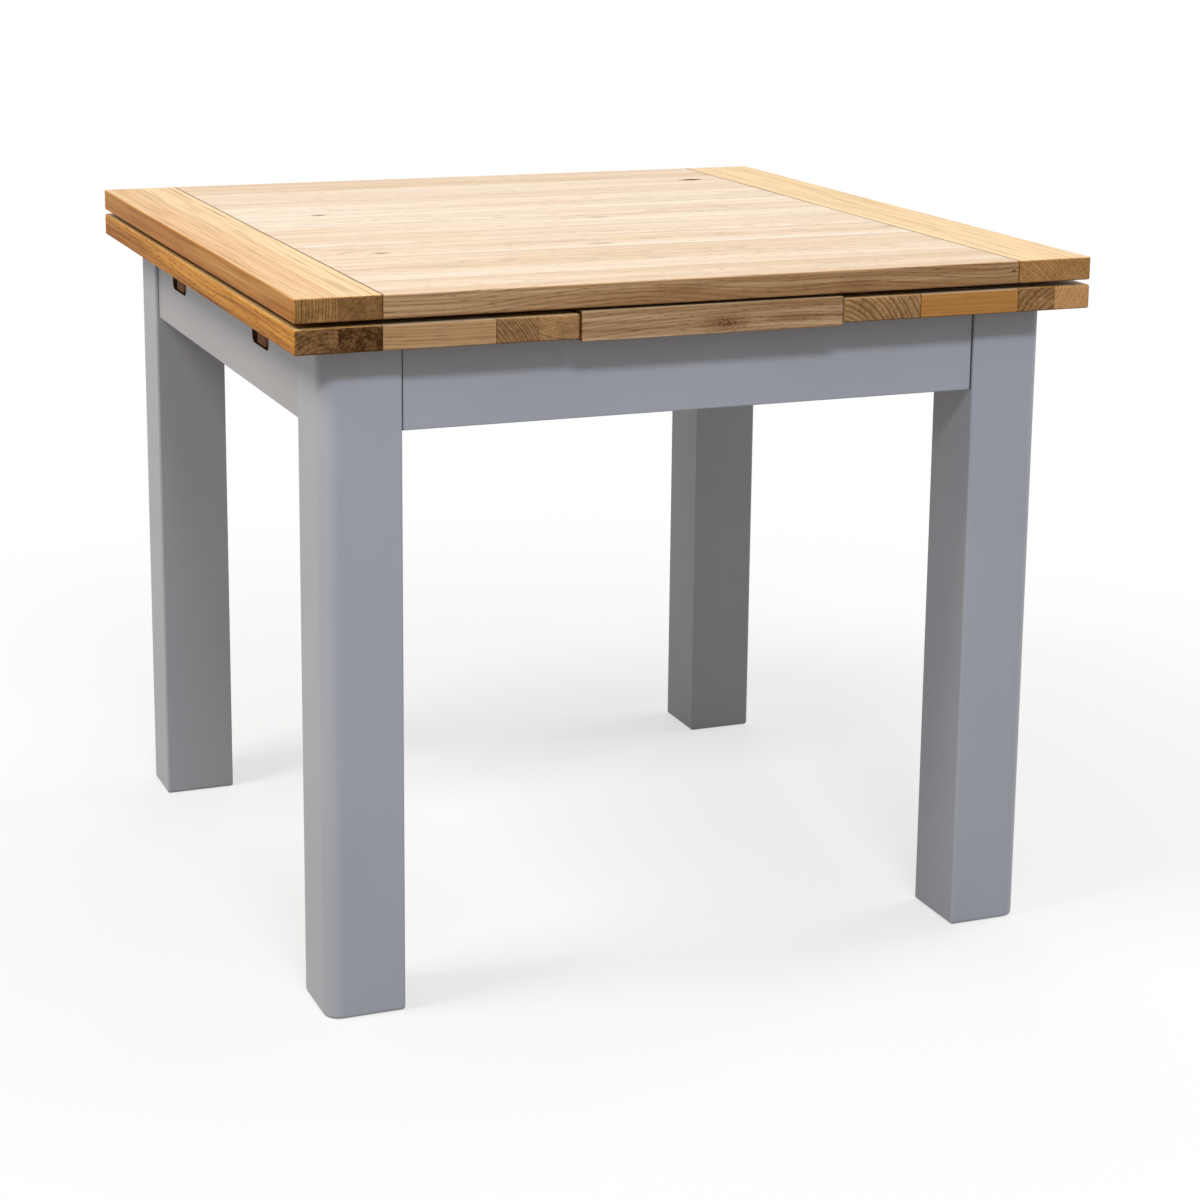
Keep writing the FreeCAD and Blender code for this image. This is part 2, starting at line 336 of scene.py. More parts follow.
@dataclass(frozen=True)
class Figure:
    """Marks of the wood at a point, as links in the panel's material, each from 0 to 1.

    Attributes:
        early: Share of early wood, which is darker.
        ray: Share of a ray.
        pore: Share of a pore.
        core: Darkness of a knot.
        joint: Darkness of a glue line.
    """

    early: Node
    ray: Node
    pore: Node
    core: Node | float
    joint: Node


@dataclass(frozen=True)
class OakFinish:
    """European oak, planed, sanded and lacquered satin.

    To the eye: pale beige faces with soft long streaks, browner edges, fine dark pores along
    the grain, brown end grain with uneven ring arcs, thin dark glue lines, and a low sheen.
    Sizes are in millimetres, length along the grain first, and marks are shares of a colour.
    """

    # Colours of faces, edges and ends, and of the marks on them
    face_pale: str = "#e6d2b7"
    face_deep: str = "#cfae82"
    edge_pale: str = "#d8b080"
    edge_deep: str = "#b88d60"
    end_pale: str = "#d3a266"
    end_dark: str = "#4d321a"
    # Painted shade: faces that look down take this darker brown, for the shade beneath the top and the
    # leaves
    under: str = "#7d5227"
    ring: str = "#a07448"
    pore: str = "#5d3818"
    knot: str = "#6a3812"
    joint: str = "#4a2c14"
    # How strongly rings show
    face_mark: float = 0.12
    edge_mark: float = 0.25
    end_mark: float = 0.70
    # Bands, streaks and fibres along the grain
    band_size: Pair = (1250.0, 56.0)
    band_mark: float = 2.0
    streak_size: Pair = (560.0, 13.0)
    streak_mark: float = 2.0
    fibre_size: Pair = (200.0, 3.0)
    fibre_mark: float = 1.4
    end_streak: float = 0.7
    # Pores, which crowd in early wood
    pore_size: Pair = (24.0, 2.0)
    pore_range: Pair = (0.54, 0.66)
    pore_crowd: float = 0.6
    pore_rough: float = 0.12
    face_pore: float = 0.35
    edge_pore: float = 0.35
    # Bends of the rings, years over which their widths change, and rays
    ripple_size: Pair = (160.0, 16.0)
    ripple_depth: float = 3.0
    drift_length: float = 450.0
    drift_reach: Pair = (26.0, 56.0)
    drift: float = 1.0
    year_run: float = 2.5
    year_swing: float = 1.6
    early_share: float = 0.65
    ray_count: float = 160.0
    ray_range: Pair = (0.5, 0.7)
    ray_mark: float = 0.06
    # Knots, in shares of their half sizes, and glue lines
    tear_size: float = 3.125
    knot_fade: Pair = (0.7, 1.6)
    knot_reach: float = 5.0
    joint_width: float = 1.6
    end_width: float = 1.6
    joint_soft: Pair = (0.7, 1.3)
    joint_mark: Pair = (0.2, 0.95)
    wear_length: float = 250.0
    wear_range: Pair = (0.35, 0.65)
    # Lacquer, which shines on level faces
    roughness: float = 0.40
    end_roughness: float = 0.58
    sheen: float = 0.5
    edge_sheen: float = 0.02
    sheen_range: Pair = (0.93, 0.99)
    bump_depth: float = 0.10
    ior: float = 1.48

    def material(self, panel: Panel) -> bpy.types.Material:
        """Build the oak of one panel as a solid figure, so faces, edges and ends agree.

        Args:
            panel: The panel to cover.

        Returns:
            The material.
        """
        material = new_material("oak_" + panel.node)
        tree = material.node_tree
        at = self._bearings(tree, panel)
        figure = self._figure(tree, panel, at)
        colour = self._wood_colour(tree, panel.grain, at)
        colour = self._marked_colour(tree, at, figure, colour)
        feeds = {"Value": at.end, "To Min": self.roughness, "To Max": self.end_roughness}
        rough = add_node(tree, Kind.RANGE, feeds)
        feeds = {0: figure.pore, 1: self.pore_rough, 2: rough}
        rough = add_node(tree, Kind.MATH, feeds, operation="MULTIPLY_ADD")
        height = add_node(tree, Kind.MATH, {0: 1.0, 1: figure.pore}, operation="SUBTRACT")
        low, high = self.sheen_range
        feeds = {
            "Value": at.upward,
            "From Min": low,
            "From Max": high,
            "To Min": self.edge_sheen,
            "To Max": self.sheen,
        }
        sheen = add_node(tree, Kind.RANGE, feeds)
        sunk = add_node(tree, Kind.MATH, {0: figure.core, 1: figure.joint}, operation="MAXIMUM")
        sheen = add_node(tree, Kind.RANGE, {"Value": sunk, "To Min": sheen, "To Max": 0.0})
        feeds = {"Base Color": colour, "Roughness": rough, "IOR": self.ior, "Specular IOR Level": sheen}
        close_material(tree, feeds, height, self.bump_depth)
        return material

    def _bearings(self, tree: Tree, panel: Panel) -> Bearings:
        """Find where a point lies in its panel and its strip, and which way its face looks.

        Args:
            tree: Node tree of the material.
            panel: The panel.

        Returns:
            The bearings.
        """
        spot = add_node(tree, Kind.COORDINATES, {})
        place, normal = spot.outputs["Object"], spot.outputs["Normal"]
        axes = add_node(tree, Kind.SPLIT, {0: place})
        along, across = axes.outputs[panel.grain.value], axes.outputs[1 - panel.grain.value]
        sides, heart, grade = self._strip_nodes(tree, panel, across)
        shift = heart.outputs[2]
        apart = add_node(tree, Kind.JOIN, {0: shift, 1: shift, 2: shift})
        upward = add_node(tree, Kind.SPLIT, {0: normal}).outputs[2]
        facing = add_node(tree, Kind.VECTOR, {0: normal}, operation="ABSOLUTE")
        facing = add_node(tree, Kind.SPLIT, {0: facing})
        low, high = FACE_TURN
        end, flat = (
            add_node(
                tree,
                Kind.RANGE,
                {"Value": facing.outputs[axis.value], "From Min": low, "From Max": high},
                interpolation_type="SMOOTHSTEP",
            )
            for axis in (panel.grain, Grain.ALONG_Z)
        )
        return Bearings(
            place=place,
            own_place=add_node(tree, Kind.VECTOR, {0: place, 1: apart}, operation="ADD"),
            along=along,
            across=across,
            line=add_node(tree, Kind.JOIN, {0: along, 1: shift}),
            section=add_node(tree, Kind.JOIN, {0: across, 1: axes.outputs[2]}),
            upward=upward,
            down=add_node(tree, Kind.RANGE, {"Value": upward, "From Min": -low, "From Max": -high}),
            flat=flat,
            end=end,
            sides=sides,
            heart=heart,
            grade=grade,
        )

    @staticmethod
    def _strip_nodes(tree: Tree, panel: Panel, across: Socket) -> tuple[Node, Node, Node]:
        """Values of the strip that a point lies in.

        Args:
            tree: Node tree of the material.
            panel: The panel.
            across: Place across the grain, in metres.

        Returns:
            Nodes that split joint lines, heart and shift, and tones and ring width.
        """
        last = len(panel.strips) - 1
        rows: list[tuple[Triple, Triple, Triple]] = []
        for i, strip in enumerate(panel.strips):
            low = -FAR_AWAY if i == 0 else strip.start * MM
            high = FAR_AWAY if i == last else strip.end * MM
            middle = (strip.start + strip.end) / 2
            heart = ((middle + strip.heart[0]) * MM, (panel.level + strip.heart[1]) * MM, strip.shift)
            rows.append(((low, high, 0.0), heart, (strip.tone, strip.end_tone, strip.ring * MM)))
        totals: list[Feed] = list(rows[0])
        for before, after, strip in zip(rows, rows[1:], panel.strips[1:]):
            past = add_node(tree, Kind.MATH, {0: across, 1: strip.start * MM}, operation="GREATER_THAN")
            for i, total in enumerate(totals):
                change = tuple(b - a for a, b in zip(before[i], after[i]))
                feeds = {0: past, 1: change, 2: total}
                totals[i] = add_node(tree, Kind.VECTOR, feeds, operation="MULTIPLY_ADD")
        sides, heart, grade = (add_node(tree, Kind.SPLIT, {0: total}) for total in totals)
        return sides, heart, grade

    def _figure(self, tree: Tree, panel: Panel, at: Bearings) -> Figure:
        """Find the rings, rays, pores, knots and glue lines at a point.

        Args:
            tree: Node tree of the material.
            panel: The panel.
            at: Where the point lies.

        Returns:
            The marks.
        """
        radius, ray = self._radius_nodes(tree, at)
        ripple = drawn_noise(tree, at.own_place, panel.grain, self.ripple_size, detail=3.0)
        feeds = {0: ripple, 1: self.ripple_depth * MM, 2: radius}
        radius = add_node(tree, Kind.MATH, feeds, operation="MULTIPLY_ADD")
        core: Node | float = 0.0
        for knot in panel.knots:
            dark, bend = self._knot_nodes(tree, at.place, knot)
            feeds = {0: bend, 1: knot.swirl * MM, 2: radius}
            radius = add_node(tree, Kind.MATH, feeds, operation="MULTIPLY_ADD")
            core = add_node(tree, Kind.MATH, {0: core, 1: dark}, operation="MAXIMUM")
        early = self._year_nodes(tree, radius, at.grade.outputs[2])
        # Pores are drawn wider than life, because real ones would be finer than a pixel
        pores = drawn_noise(tree, at.place, panel.grain, self.pore_size, detail=2.0)
        low, high = self.pore_range
        pore = add_node(tree, Kind.RANGE, {"Value": pores, "From Min": low, "From Max": high})
        feeds = {0: early, 1: self.pore_crowd, 2: 1 - self.pore_crowd}
        crowd = add_node(tree, Kind.MATH, feeds, operation="MULTIPLY_ADD")
        pore = add_node(tree, Kind.MATH, {0: pore, 1: crowd}, operation="MULTIPLY")
        return Figure(early, ray, pore, core, self._joint_nodes(tree, panel, at))

    def _radius_nodes(self, tree: Tree, at: Bearings) -> tuple[Socket, Node]:
        """Distance from the heart of the tree, which drifts along the board, and rays from it.

        Args:
            tree: Node tree of the material.
            at: Where the point lies.

        Returns:
            The distance in metres, and the share of ray, from 0 to 1.
        """
        feeds = {"Vector": at.line, "Scale": 1 / (self.drift_length * MM), "Detail": 2.0}
        drift = add_node(tree, Kind.NOISE, feeds)
        reach = (*(self.drift * r * MM for r in self.drift_reach), 0.0)
        back = tuple(-r / 2 for r in reach)
        feeds = {0: drift.outputs["Color"], 1: reach, 2: back}
        drift = add_node(tree, Kind.VECTOR, feeds, operation="MULTIPLY_ADD")
        centre = add_node(tree, Kind.JOIN, {0: at.heart.outputs[0], 1: at.heart.outputs[1]})
        away = add_node(tree, Kind.VECTOR, {0: at.section, 1: centre}, operation="SUBTRACT")
        away = add_node(tree, Kind.VECTOR, {0: away, 1: drift}, operation="ADD")
        radius = add_node(tree, Kind.VECTOR, {0: away}, operation="LENGTH").outputs["Value"]
        parts = add_node(tree, Kind.SPLIT, {0: away})
        feeds = {0: parts.outputs[1], 1: parts.outputs[0]}
        angle = add_node(tree, Kind.MATH, feeds, operation="ARCTAN2")
        feeds = {"W": angle, "Scale": self.ray_count, "Detail": 2.0}
        rays = add_node(tree, Kind.NOISE, feeds, noise_dimensions="1D")
        low, high = self.ray_range
        ray = add_node(tree, Kind.RANGE, {"Value": rays, "From Min": low, "From Max": high})
        return radius, ray

    def _year_nodes(self, tree: Tree, radius: Node, ring: Socket) -> Node:
        """Share of early wood, in years of unlike width.

        Args:
            tree: Node tree of the material.
            radius: Distance from the heart in metres.
            ring: Mean width of a year in metres.

        Returns:
            The share, from 0 to 1.
        """
        turns = add_node(tree, Kind.MATH, {0: radius, 1: ring}, operation="DIVIDE")
        feeds = {"W": turns, "Scale": 1 / self.year_run, "Detail": 1.0}
        years = add_node(tree, Kind.NOISE, feeds, noise_dimensions="1D")
        feeds = {0: years, 1: self.year_swing, 2: turns}
        turns = add_node(tree, Kind.MATH, feeds, operation="MULTIPLY_ADD")
        part = add_node(tree, Kind.MATH, {0: turns}, operation="FRACT")
        feeds = {"Value": part, "From Max": self.early_share, "To Min": 1.0, "To Max": 0.0}
        return add_node(tree, Kind.RANGE, feeds, interpolation_type="SMOOTHSTEP")

    def _knot_nodes(self, tree: Tree, place: Socket, knot: Knot) -> tuple[Node, Node]:
        """Dark core of a knot, and the bend that it gives the rings round it.

        Args:
            tree: Node tree of the material.
            place: Object coordinates.
            knot: The knot.

        Returns:
            Darkness of the core, and share of the bend.
        """
        centre = tuple(c * MM for c in knot.place)
        counts = tuple(1 / (s * MM) for s in knot.size)
        away = add_node(tree, Kind.VECTOR, {0: place, 1: centre}, operation="SUBTRACT")
        away = add_node(tree, Kind.VECTOR, {0: away, 1: counts}, operation="MULTIPLY")
        distance = add_node(tree, Kind.VECTOR, {0: away}, operation="LENGTH").outputs["Value"]
        feeds = {"Vector": place, "Scale": 1 / (self.tear_size * MM), "Detail": 3.0}
        torn = add_node(tree, Kind.NOISE, feeds)
        torn = add_node(tree, Kind.MATH, {0: torn, 1: knot.torn, 2: distance}, operation="MULTIPLY_ADD")
        low, high = self.knot_fade
        feeds = {"Value": torn, "From Min": low, "From Max": high, "To Min": knot.strength, "To Max": 0.0}
        core = add_node(tree, Kind.RANGE, feeds, interpolation_type="SMOOTHSTEP")
        feeds = {"Value": distance, "From Max": self.knot_reach, "To Min": 1.0, "To Max": 0.0}
        bend = add_node(tree, Kind.RANGE, feeds, interpolation_type="SMOOTHSTEP")
        return core, bend

    def _joint_nodes(self, tree: Tree, panel: Panel, at: Bearings) -> Node:
        """Thin dark lines where boards meet each other and their cleats.

        Lines at cleats have their full width on level faces only.

        Args:
            tree: Node tree of the material.
            panel: The panel.
            at: Where the point lies.

        Returns:
            Darkness of the lines.
        """
        start, end = at.sides.outputs[0], at.sides.outputs[1]
        from_start = add_node(tree, Kind.MATH, {0: at.across, 1: start}, operation="SUBTRACT")
        to_end = add_node(tree, Kind.MATH, {0: end, 1: at.across}, operation="SUBTRACT")
        gap = add_node(tree, Kind.MATH, {0: from_start, 1: to_end}, operation="MINIMUM")
        low, high = (s * self.joint_width * MM / 2 for s in self.joint_soft)
        feeds = {"Value": gap, "From Min": low, "From Max": high, "To Min": 1.0, "To Max": 0.0}
        seam = add_node(tree, Kind.RANGE, feeds)
        feeds = {"Vector": at.line, "Scale": 1 / (self.wear_length * MM), "Detail": 2.0}
        worn = add_node(tree, Kind.NOISE, feeds)
        faint, full = self.joint_mark
        feeds = {
            "Value": worn,
            "From Min": self.wear_range[0],
            "From Max": self.wear_range[1],
            "To Min": faint * panel.seams,
            "To Max": full * panel.seams,
        }
        shown = add_node(tree, Kind.RANGE, feeds)
        total = add_node(tree, Kind.MATH, {0: seam, 1: shown}, operation="MULTIPLY")
        feeds = {"Value": at.flat, "To Min": self.end_width / self.joint_width, "To Max": 1.0}
        narrow = add_node(tree, Kind.RANGE, feeds)
        low, high = (s * self.end_width * MM / 2 for s in self.joint_soft)
        for line in panel.ends:
            span = add_node(tree, Kind.MATH, {0: at.along, 1: line * MM}, operation="SUBTRACT")
            span = add_node(tree, Kind.MATH, {0: span}, operation="ABSOLUTE")
            span = add_node(tree, Kind.MATH, {0: span, 1: narrow}, operation="MULTIPLY")
            feeds = {"Value": span, "From Min": low, "From Max": high, "To Min": full, "To Max": 0.0}
            cut = add_node(tree, Kind.RANGE, feeds)
            total = add_node(tree, Kind.MATH, {0: total, 1: cut}, operation="MAXIMUM")
        return total

    def _wood_colour(self, tree: Tree, grain: Grain, at: Bearings) -> Socket:
        """Colour of faces, edges and ends in bands, streaks and fibres.

        Args:
            tree: Node tree of the material.
            grain: Axis of the grain.
            at: Where the point lies.

        Returns:
            The colour.
        """
        tone, end_tone = at.grade.outputs[0], at.grade.outputs[1]
        for size, detail, mark, end_mark in (
            (self.band_size, 3.0, self.band_mark, 0.0),
            (self.streak_size, 4.0, self.streak_mark, self.end_streak),
            (self.fibre_size, 3.0, self.fibre_mark, self.end_streak),
        ):
            noise = drawn_noise(tree, at.own_place, grain, size, detail)
            swing = add_node(tree, Kind.MATH, {0: noise, 1: NOISE_MIDDLE}, operation="SUBTRACT")
            tone = add_node(tree, Kind.MATH, {0: swing, 1: mark, 2: tone}, operation="MULTIPLY_ADD")
            feeds = {0: swing, 1: end_mark, 2: end_tone}
            end_tone = add_node(tree, Kind.MATH, feeds, operation="MULTIPLY_ADD")
        colours = []
        for share, pale, deep in (
            (tone, self.edge_pale, self.edge_deep),
            (tone, self.face_pale, self.face_deep),
            (end_tone, self.end_pale, self.end_dark),
        ):
            feeds = {SHARE: share, UNDER: linear(pale), OVER: linear(deep)}
            colours.append(add_node(tree, Kind.MIX, feeds, data_type="RGBA").outputs[MIXED])
        edge, face, end = colours
        feeds = {SHARE: at.flat, UNDER: edge, OVER: face}
        colour = add_node(tree, Kind.MIX, feeds, data_type="RGBA").outputs[MIXED]
        feeds = {SHARE: at.end, UNDER: colour, OVER: end}
        return add_node(tree, Kind.MIX, feeds, data_type="RGBA").outputs[MIXED]

    def _marked_colour(self, tree: Tree, at: Bearings, figure: Figure, colour: Socket) -> Socket:
        """Lay painted shade on undersides, and rings, rays, pores, knots and glue lines, over the wood's
        colour.

        Args:
            tree: Node tree of the material.
            at: Where the point lies.
            figure: The marks.
            colour: Colour of the wood.

        Returns:
            The colour with its marks.
        """
        feeds = {"Value": at.flat, "To Min": self.edge_mark, "To Max": self.face_mark}
        mark = add_node(tree, Kind.RANGE, feeds)
        mark = add_node(tree, Kind.RANGE, {"Value": at.end, "To Min": mark, "To Max": self.end_mark})
        ringed = add_node(tree, Kind.MATH, {0: figure.early, 1: mark}, operation="MULTIPLY")
        rayed = add_node(tree, Kind.MATH, {0: figure.ray, 1: at.end}, operation="MULTIPLY")
        rayed = add_node(tree, Kind.MATH, {0: rayed, 1: self.ray_mark}, operation="MULTIPLY")
        feeds = {"Value": at.flat, "To Min": self.edge_pore, "To Max": self.face_pore}
        pored = add_node(tree, Kind.RANGE, feeds)
        pored = add_node(tree, Kind.MATH, {0: figure.pore, 1: pored}, operation="MULTIPLY")
        feeds = {0: colour, 1: linear(self.ring)[:3]}
        darker = add_node(tree, Kind.VECTOR, feeds, operation="MULTIPLY")
        for share, over in (
            # Painted shade: faces that look down are darkened, for the shade in the gap beneath the top
            (at.down, linear(self.under)),
            (ringed, darker),
            (rayed, linear(self.end_pale)),
            (pored, linear(self.pore)),
            (figure.core, linear(self.knot)),
            (figure.joint, linear(self.joint)),
        ):
            feeds = {SHARE: share, UNDER: colour, OVER: over}
            colour = add_node(tree, Kind.MIX, feeds, data_type="RGBA").outputs[MIXED]
        return colour


@dataclass(frozen=True)
class PaintFinish:
    """Waterborne eggshell paint, sprayed over sealed timber.

    To the eye: a cool mid grey with a soft sheen, barely clouded, with a fine skin, and a line of
    painted shadow where pieces meet, for the shade in the gap between them. Sizes are in millimetres.
    """

    colour: str = "#b9bcc4"
    shade: str = "#b3b6be"
    # Painted shadow: colour of the dark line where pieces meet, for the shade in the gap between them
    gap: str = "#34353a"
    # Painted shade: bare wood of the notches' cut faces, made much darker for the shade inside the notches
    bare: str = "#4f3a28"
    gap_shadow_width: float = 1.6
    gap_shadow_soft: float = 0.4
    cloud_size: float = 200.0
    cloud_range: Pair = (0.4, 0.9)
    line_size: Pair = (250.0, 3.2)
    line_mark: float = 0.3
    line_rough: float = 0.12
    skin_size: float = 1.4
    skin_mark: float = 0.6
    roughness: float = 0.46
    bump_depth: float = 0.02
    ior: float = 1.46

    def material(
        self, name: str, grain: Grain, seam: float = 0.0, shaded_bare_above: float = 0.0
    ) -> bpy.types.Material:
        """Build the paint with its faint lines along one axis.

        Args:
            name: Name of the material.
            grain: Axis that the piece runs along.
            seam: Distance from the middle at which it meets other pieces, where a line of painted shadow
                goes, or 0 for none.
            shaded_bare_above: Height in millimetres above which cut faces are bare wood darkened with
                painted shade, or 0 for none.

        Returns:
            The material.
        """
        material = new_material(name)
        tree = material.node_tree
        spot = add_node(tree, Kind.COORDINATES, {})
        place = spot.outputs["Object"]
        axes = add_node(tree, Kind.SPLIT, {0: place})
        feeds = {"Vector": place, "Scale": 1 / (self.cloud_size * MM), "Detail": 3.0}
        cloud = add_node(tree, Kind.NOISE, feeds)
        lines = drawn_noise(tree, place, grain, self.line_size, detail=3.0)
        feeds = {"Vector": place, "Scale": 1 / (self.skin_size * MM), "Detail": 2.0}
        skin = add_node(tree, Kind.NOISE, feeds)
        feeds = {0: lines, 1: self.line_mark, 2: cloud}
        blend = add_node(tree, Kind.MATH, feeds, operation="MULTIPLY_ADD")
        low, high = self.cloud_range
        blend = add_node(tree, Kind.RANGE, {"Value": blend, "From Min": low, "From Max": high})
        feeds = {SHARE: blend, UNDER: linear(self.shade), OVER: linear(self.colour)}
        colour = add_node(tree, Kind.MIX, feeds, data_type="RGBA").outputs[MIXED]
        # Painted shadow: a dark line where the piece meets the legs, for the shade in the gap between them
        if seam:
            span = add_node(tree, Kind.MATH, {0: axes.outputs[grain.value]}, operation="ABSOLUTE")
            dark = seam - self.gap_shadow_width
            feeds = {"Value": span, "From Min": (dark - self.gap_shadow_soft) * MM, "From Max": dark * MM}
            line = add_node(tree, Kind.RANGE, feeds)
            feeds = {SHARE: line, UNDER: colour, OVER: linear(self.gap)}
            colour = add_node(tree, Kind.MIX, feeds, data_type="RGBA").outputs[MIXED]
        # Painted shade: cut faces in the notches take a dark bare-wood brown, for the shade inside them
        if shaded_bare_above:
            facing = add_node(tree, Kind.SPLIT, {0: spot.outputs["Normal"]})
            facing = add_node(tree, Kind.MATH, {0: facing}, operation="ABSOLUTE")
            cut = add_node(tree, Kind.MATH, {0: facing, 1: FACE_TURN[0]}, operation="LESS_THAN")
            feeds = {0: axes.outputs[2], 1: shaded_bare_above * MM}
            high = add_node(tree, Kind.MATH, feeds, operation="GREATER_THAN")
            cut = add_node(tree, Kind.MATH, {0: cut, 1: high}, operation="MULTIPLY")
            feeds = {SHARE: cut, UNDER: colour, OVER: linear(self.bare)}
            colour = add_node(tree, Kind.MIX, feeds, data_type="RGBA").outputs[MIXED]
        feeds = {0: lines, 1: self.line_rough, 2: self.roughness - self.line_rough / 2}
        rough = add_node(tree, Kind.MATH, feeds, operation="MULTIPLY_ADD")
        feeds = {0: skin, 1: self.skin_mark, 2: lines}
        height = add_node(tree, Kind.MATH, feeds, operation="MULTIPLY_ADD")
        feeds = {"Base Color": colour, "Roughness": rough, "IOR": self.ior}
        close_material(tree, feeds, height, self.bump_depth)
        return material


@dataclass(frozen=True)
class BeechFinish:
    """Steamed beech, planed and left bare.

    To the eye: even pinkish tan, with short brown flecks along the grain and little figure.
    Sizes are in millimetres.
    """

    pale: str = "#d3ab80"
    deep: str = "#bd8d5e"
    fleck: str = "#8a5a35"
    end: str = "#8c5a30"
    streak_size: Pair = (400.0, 18.0)
    streak_range: Pair = (0.3, 0.7)
    streak_rough: float = 0.08
    fleck_size: Pair = (5.2, 1.1)
    fleck_range: Pair = (0.60, 0.72)
    fleck_mark: float = 0.55
    roughness: float = 0.6
    sheen: float = 0.1
    bump_depth: float = 0.05
    ior: float = 1.45

    def material(self, name: str, grain: Grain) -> bpy.types.Material:
        """Build the beech with its grain along one axis.

        Args:
            name: Name of the material.
            grain: Axis of the grain.

        Returns:
            The material.
        """
        material = new_material(name)
        tree = material.node_tree
        spot = add_node(tree, Kind.COORDINATES, {})
        place = spot.outputs["Object"]
        facing = add_node(tree, Kind.SPLIT, {0: spot.outputs["Normal"]}).outputs[grain.value]
        facing = add_node(tree, Kind.MATH, {0: facing}, operation="ABSOLUTE")
        streak = drawn_noise(tree, place, grain, self.streak_size, detail=4.0)
        fleck = drawn_noise(tree, place, grain, self.fleck_size, detail=1.0)
        end, streak, fleck = (
            add_node(tree, Kind.RANGE, {"Value": value, "From Min": low, "From Max": high})
            for value, (low, high) in (
                (facing, FACE_TURN),
                (streak, self.streak_range),
                (fleck, self.fleck_range),
            )
        )
        flecked = add_node(tree, Kind.MATH, {0: fleck, 1: self.fleck_mark}, operation="MULTIPLY")
        feeds = {SHARE: streak, UNDER: linear(self.pale), OVER: linear(self.deep)}
        colour = add_node(tree, Kind.MIX, feeds, data_type="RGBA").outputs[MIXED]
        for share, over in ((end, self.end), (flecked, self.fleck)):
            feeds = {SHARE: share, UNDER: colour, OVER: linear(over)}
            colour = add_node(tree, Kind.MIX, feeds, data_type="RGBA").outputs[MIXED]
        feeds = {0: streak, 1: self.streak_rough, 2: self.roughness}
        rough = add_node(tree, Kind.MATH, feeds, operation="MULTIPLY_ADD")
        height = add_node(tree, Kind.MATH, {0: 1.0, 1: fleck}, operation="SUBTRACT")
        feeds = {
            "Base Color": colour,
            "Roughness": rough,
            "IOR": self.ior,
            "Specular IOR Level": self.sheen,
        }
        close_material(tree, feeds, height, self.bump_depth)
        return material


@dataclass(frozen=True)
class PlyFinish:
    """Birch plywood, rotary cut and glued in thin plies.

    To the eye: cream faces and edges striped by darker plies. Sizes are in millimetres.
    """

    pale: str = "#dfc79f"
    dark: str = "#b48d5d"
    ply: float = 1.4
    streak_size: Pair = (160.0, 4.0)
    streak_rough: float = 0.1
    roughness: float = 0.65
    bump_depth: float = 0.04
    ior: float = 1.45

    def material(self, name: str) -> bpy.types.Material:
        """Build the plywood with level plies.

        Args:
            name: Name of the material.

        Returns:
            The material.
        """
        material = new_material(name)
        tree = material.node_tree
        place = add_node(tree, Kind.COORDINATES, {}).outputs["Object"]
        up = add_node(tree, Kind.SPLIT, {0: place}).outputs[2]
        count = add_node(tree, Kind.MATH, {0: up, 1: self.ply * MM}, operation="DIVIDE")
        turn = add_node(tree, Kind.MATH, {0: count, 1: 1.0}, operation="PINGPONG")
        streak = drawn_noise(tree, place, Grain.ALONG_Y, self.streak_size, detail=3.0)
        share = add_node(tree, Kind.MATH, {0: turn, 1: streak}, operation="MULTIPLY")
        feeds = {SHARE: share, UNDER: linear(self.pale), OVER: linear(self.dark)}
        colour = add_node(tree, Kind.MIX, feeds, data_type="RGBA").outputs[MIXED]
        feeds = {0: streak, 1: self.streak_rough, 2: self.roughness}
        rough = add_node(tree, Kind.MATH, feeds, operation="MULTIPLY_ADD")
        feeds = {"Base Color": colour, "Roughness": rough, "IOR": self.ior}
        close_material(tree, feeds, streak, self.bump_depth)
        return material


@dataclass(frozen=True)
class ZincFinish:
    """Steel fasteners, cold formed and bright zinc plated.

    To the eye: silvery grey with a faint blue cast, and fine scuffs in the shine. Sizes are in
    millimetres.
    """

    bright: str = "#c3c6ca"
    dull: str = "#9b9fa5"
    scuff_size: float = 1.4
    scuff_rough: float = 0.2
    roughness: float = 0.28
    bump_depth: float = 0.02

    def material(self, name: str) -> bpy.types.Material:
        """Build the plated steel.

        Args:
            name: Name of the material.

        Returns:
            The material.
        """
        material = new_material(name)
        tree = material.node_tree
        place = add_node(tree, Kind.COORDINATES, {}).outputs["Object"]
        feeds = {"Vector": place, "Scale": 1 / (self.scuff_size * MM), "Detail": 4.0}
        scuff = add_node(tree, Kind.NOISE, feeds)
        feeds = {SHARE: scuff, UNDER: linear(self.dull), OVER: linear(self.bright)}
        colour = add_node(tree, Kind.MIX, feeds, data_type="RGBA").outputs[MIXED]
        feeds = {0: scuff, 1: self.scuff_rough, 2: self.roughness}
        rough = add_node(tree, Kind.MATH, feeds, operation="MULTIPLY_ADD")
        feeds = {"Base Color": colour, "Roughness": rough, "Metallic": 1.0}
        close_material(tree, feeds, scuff, self.bump_depth)
        return material


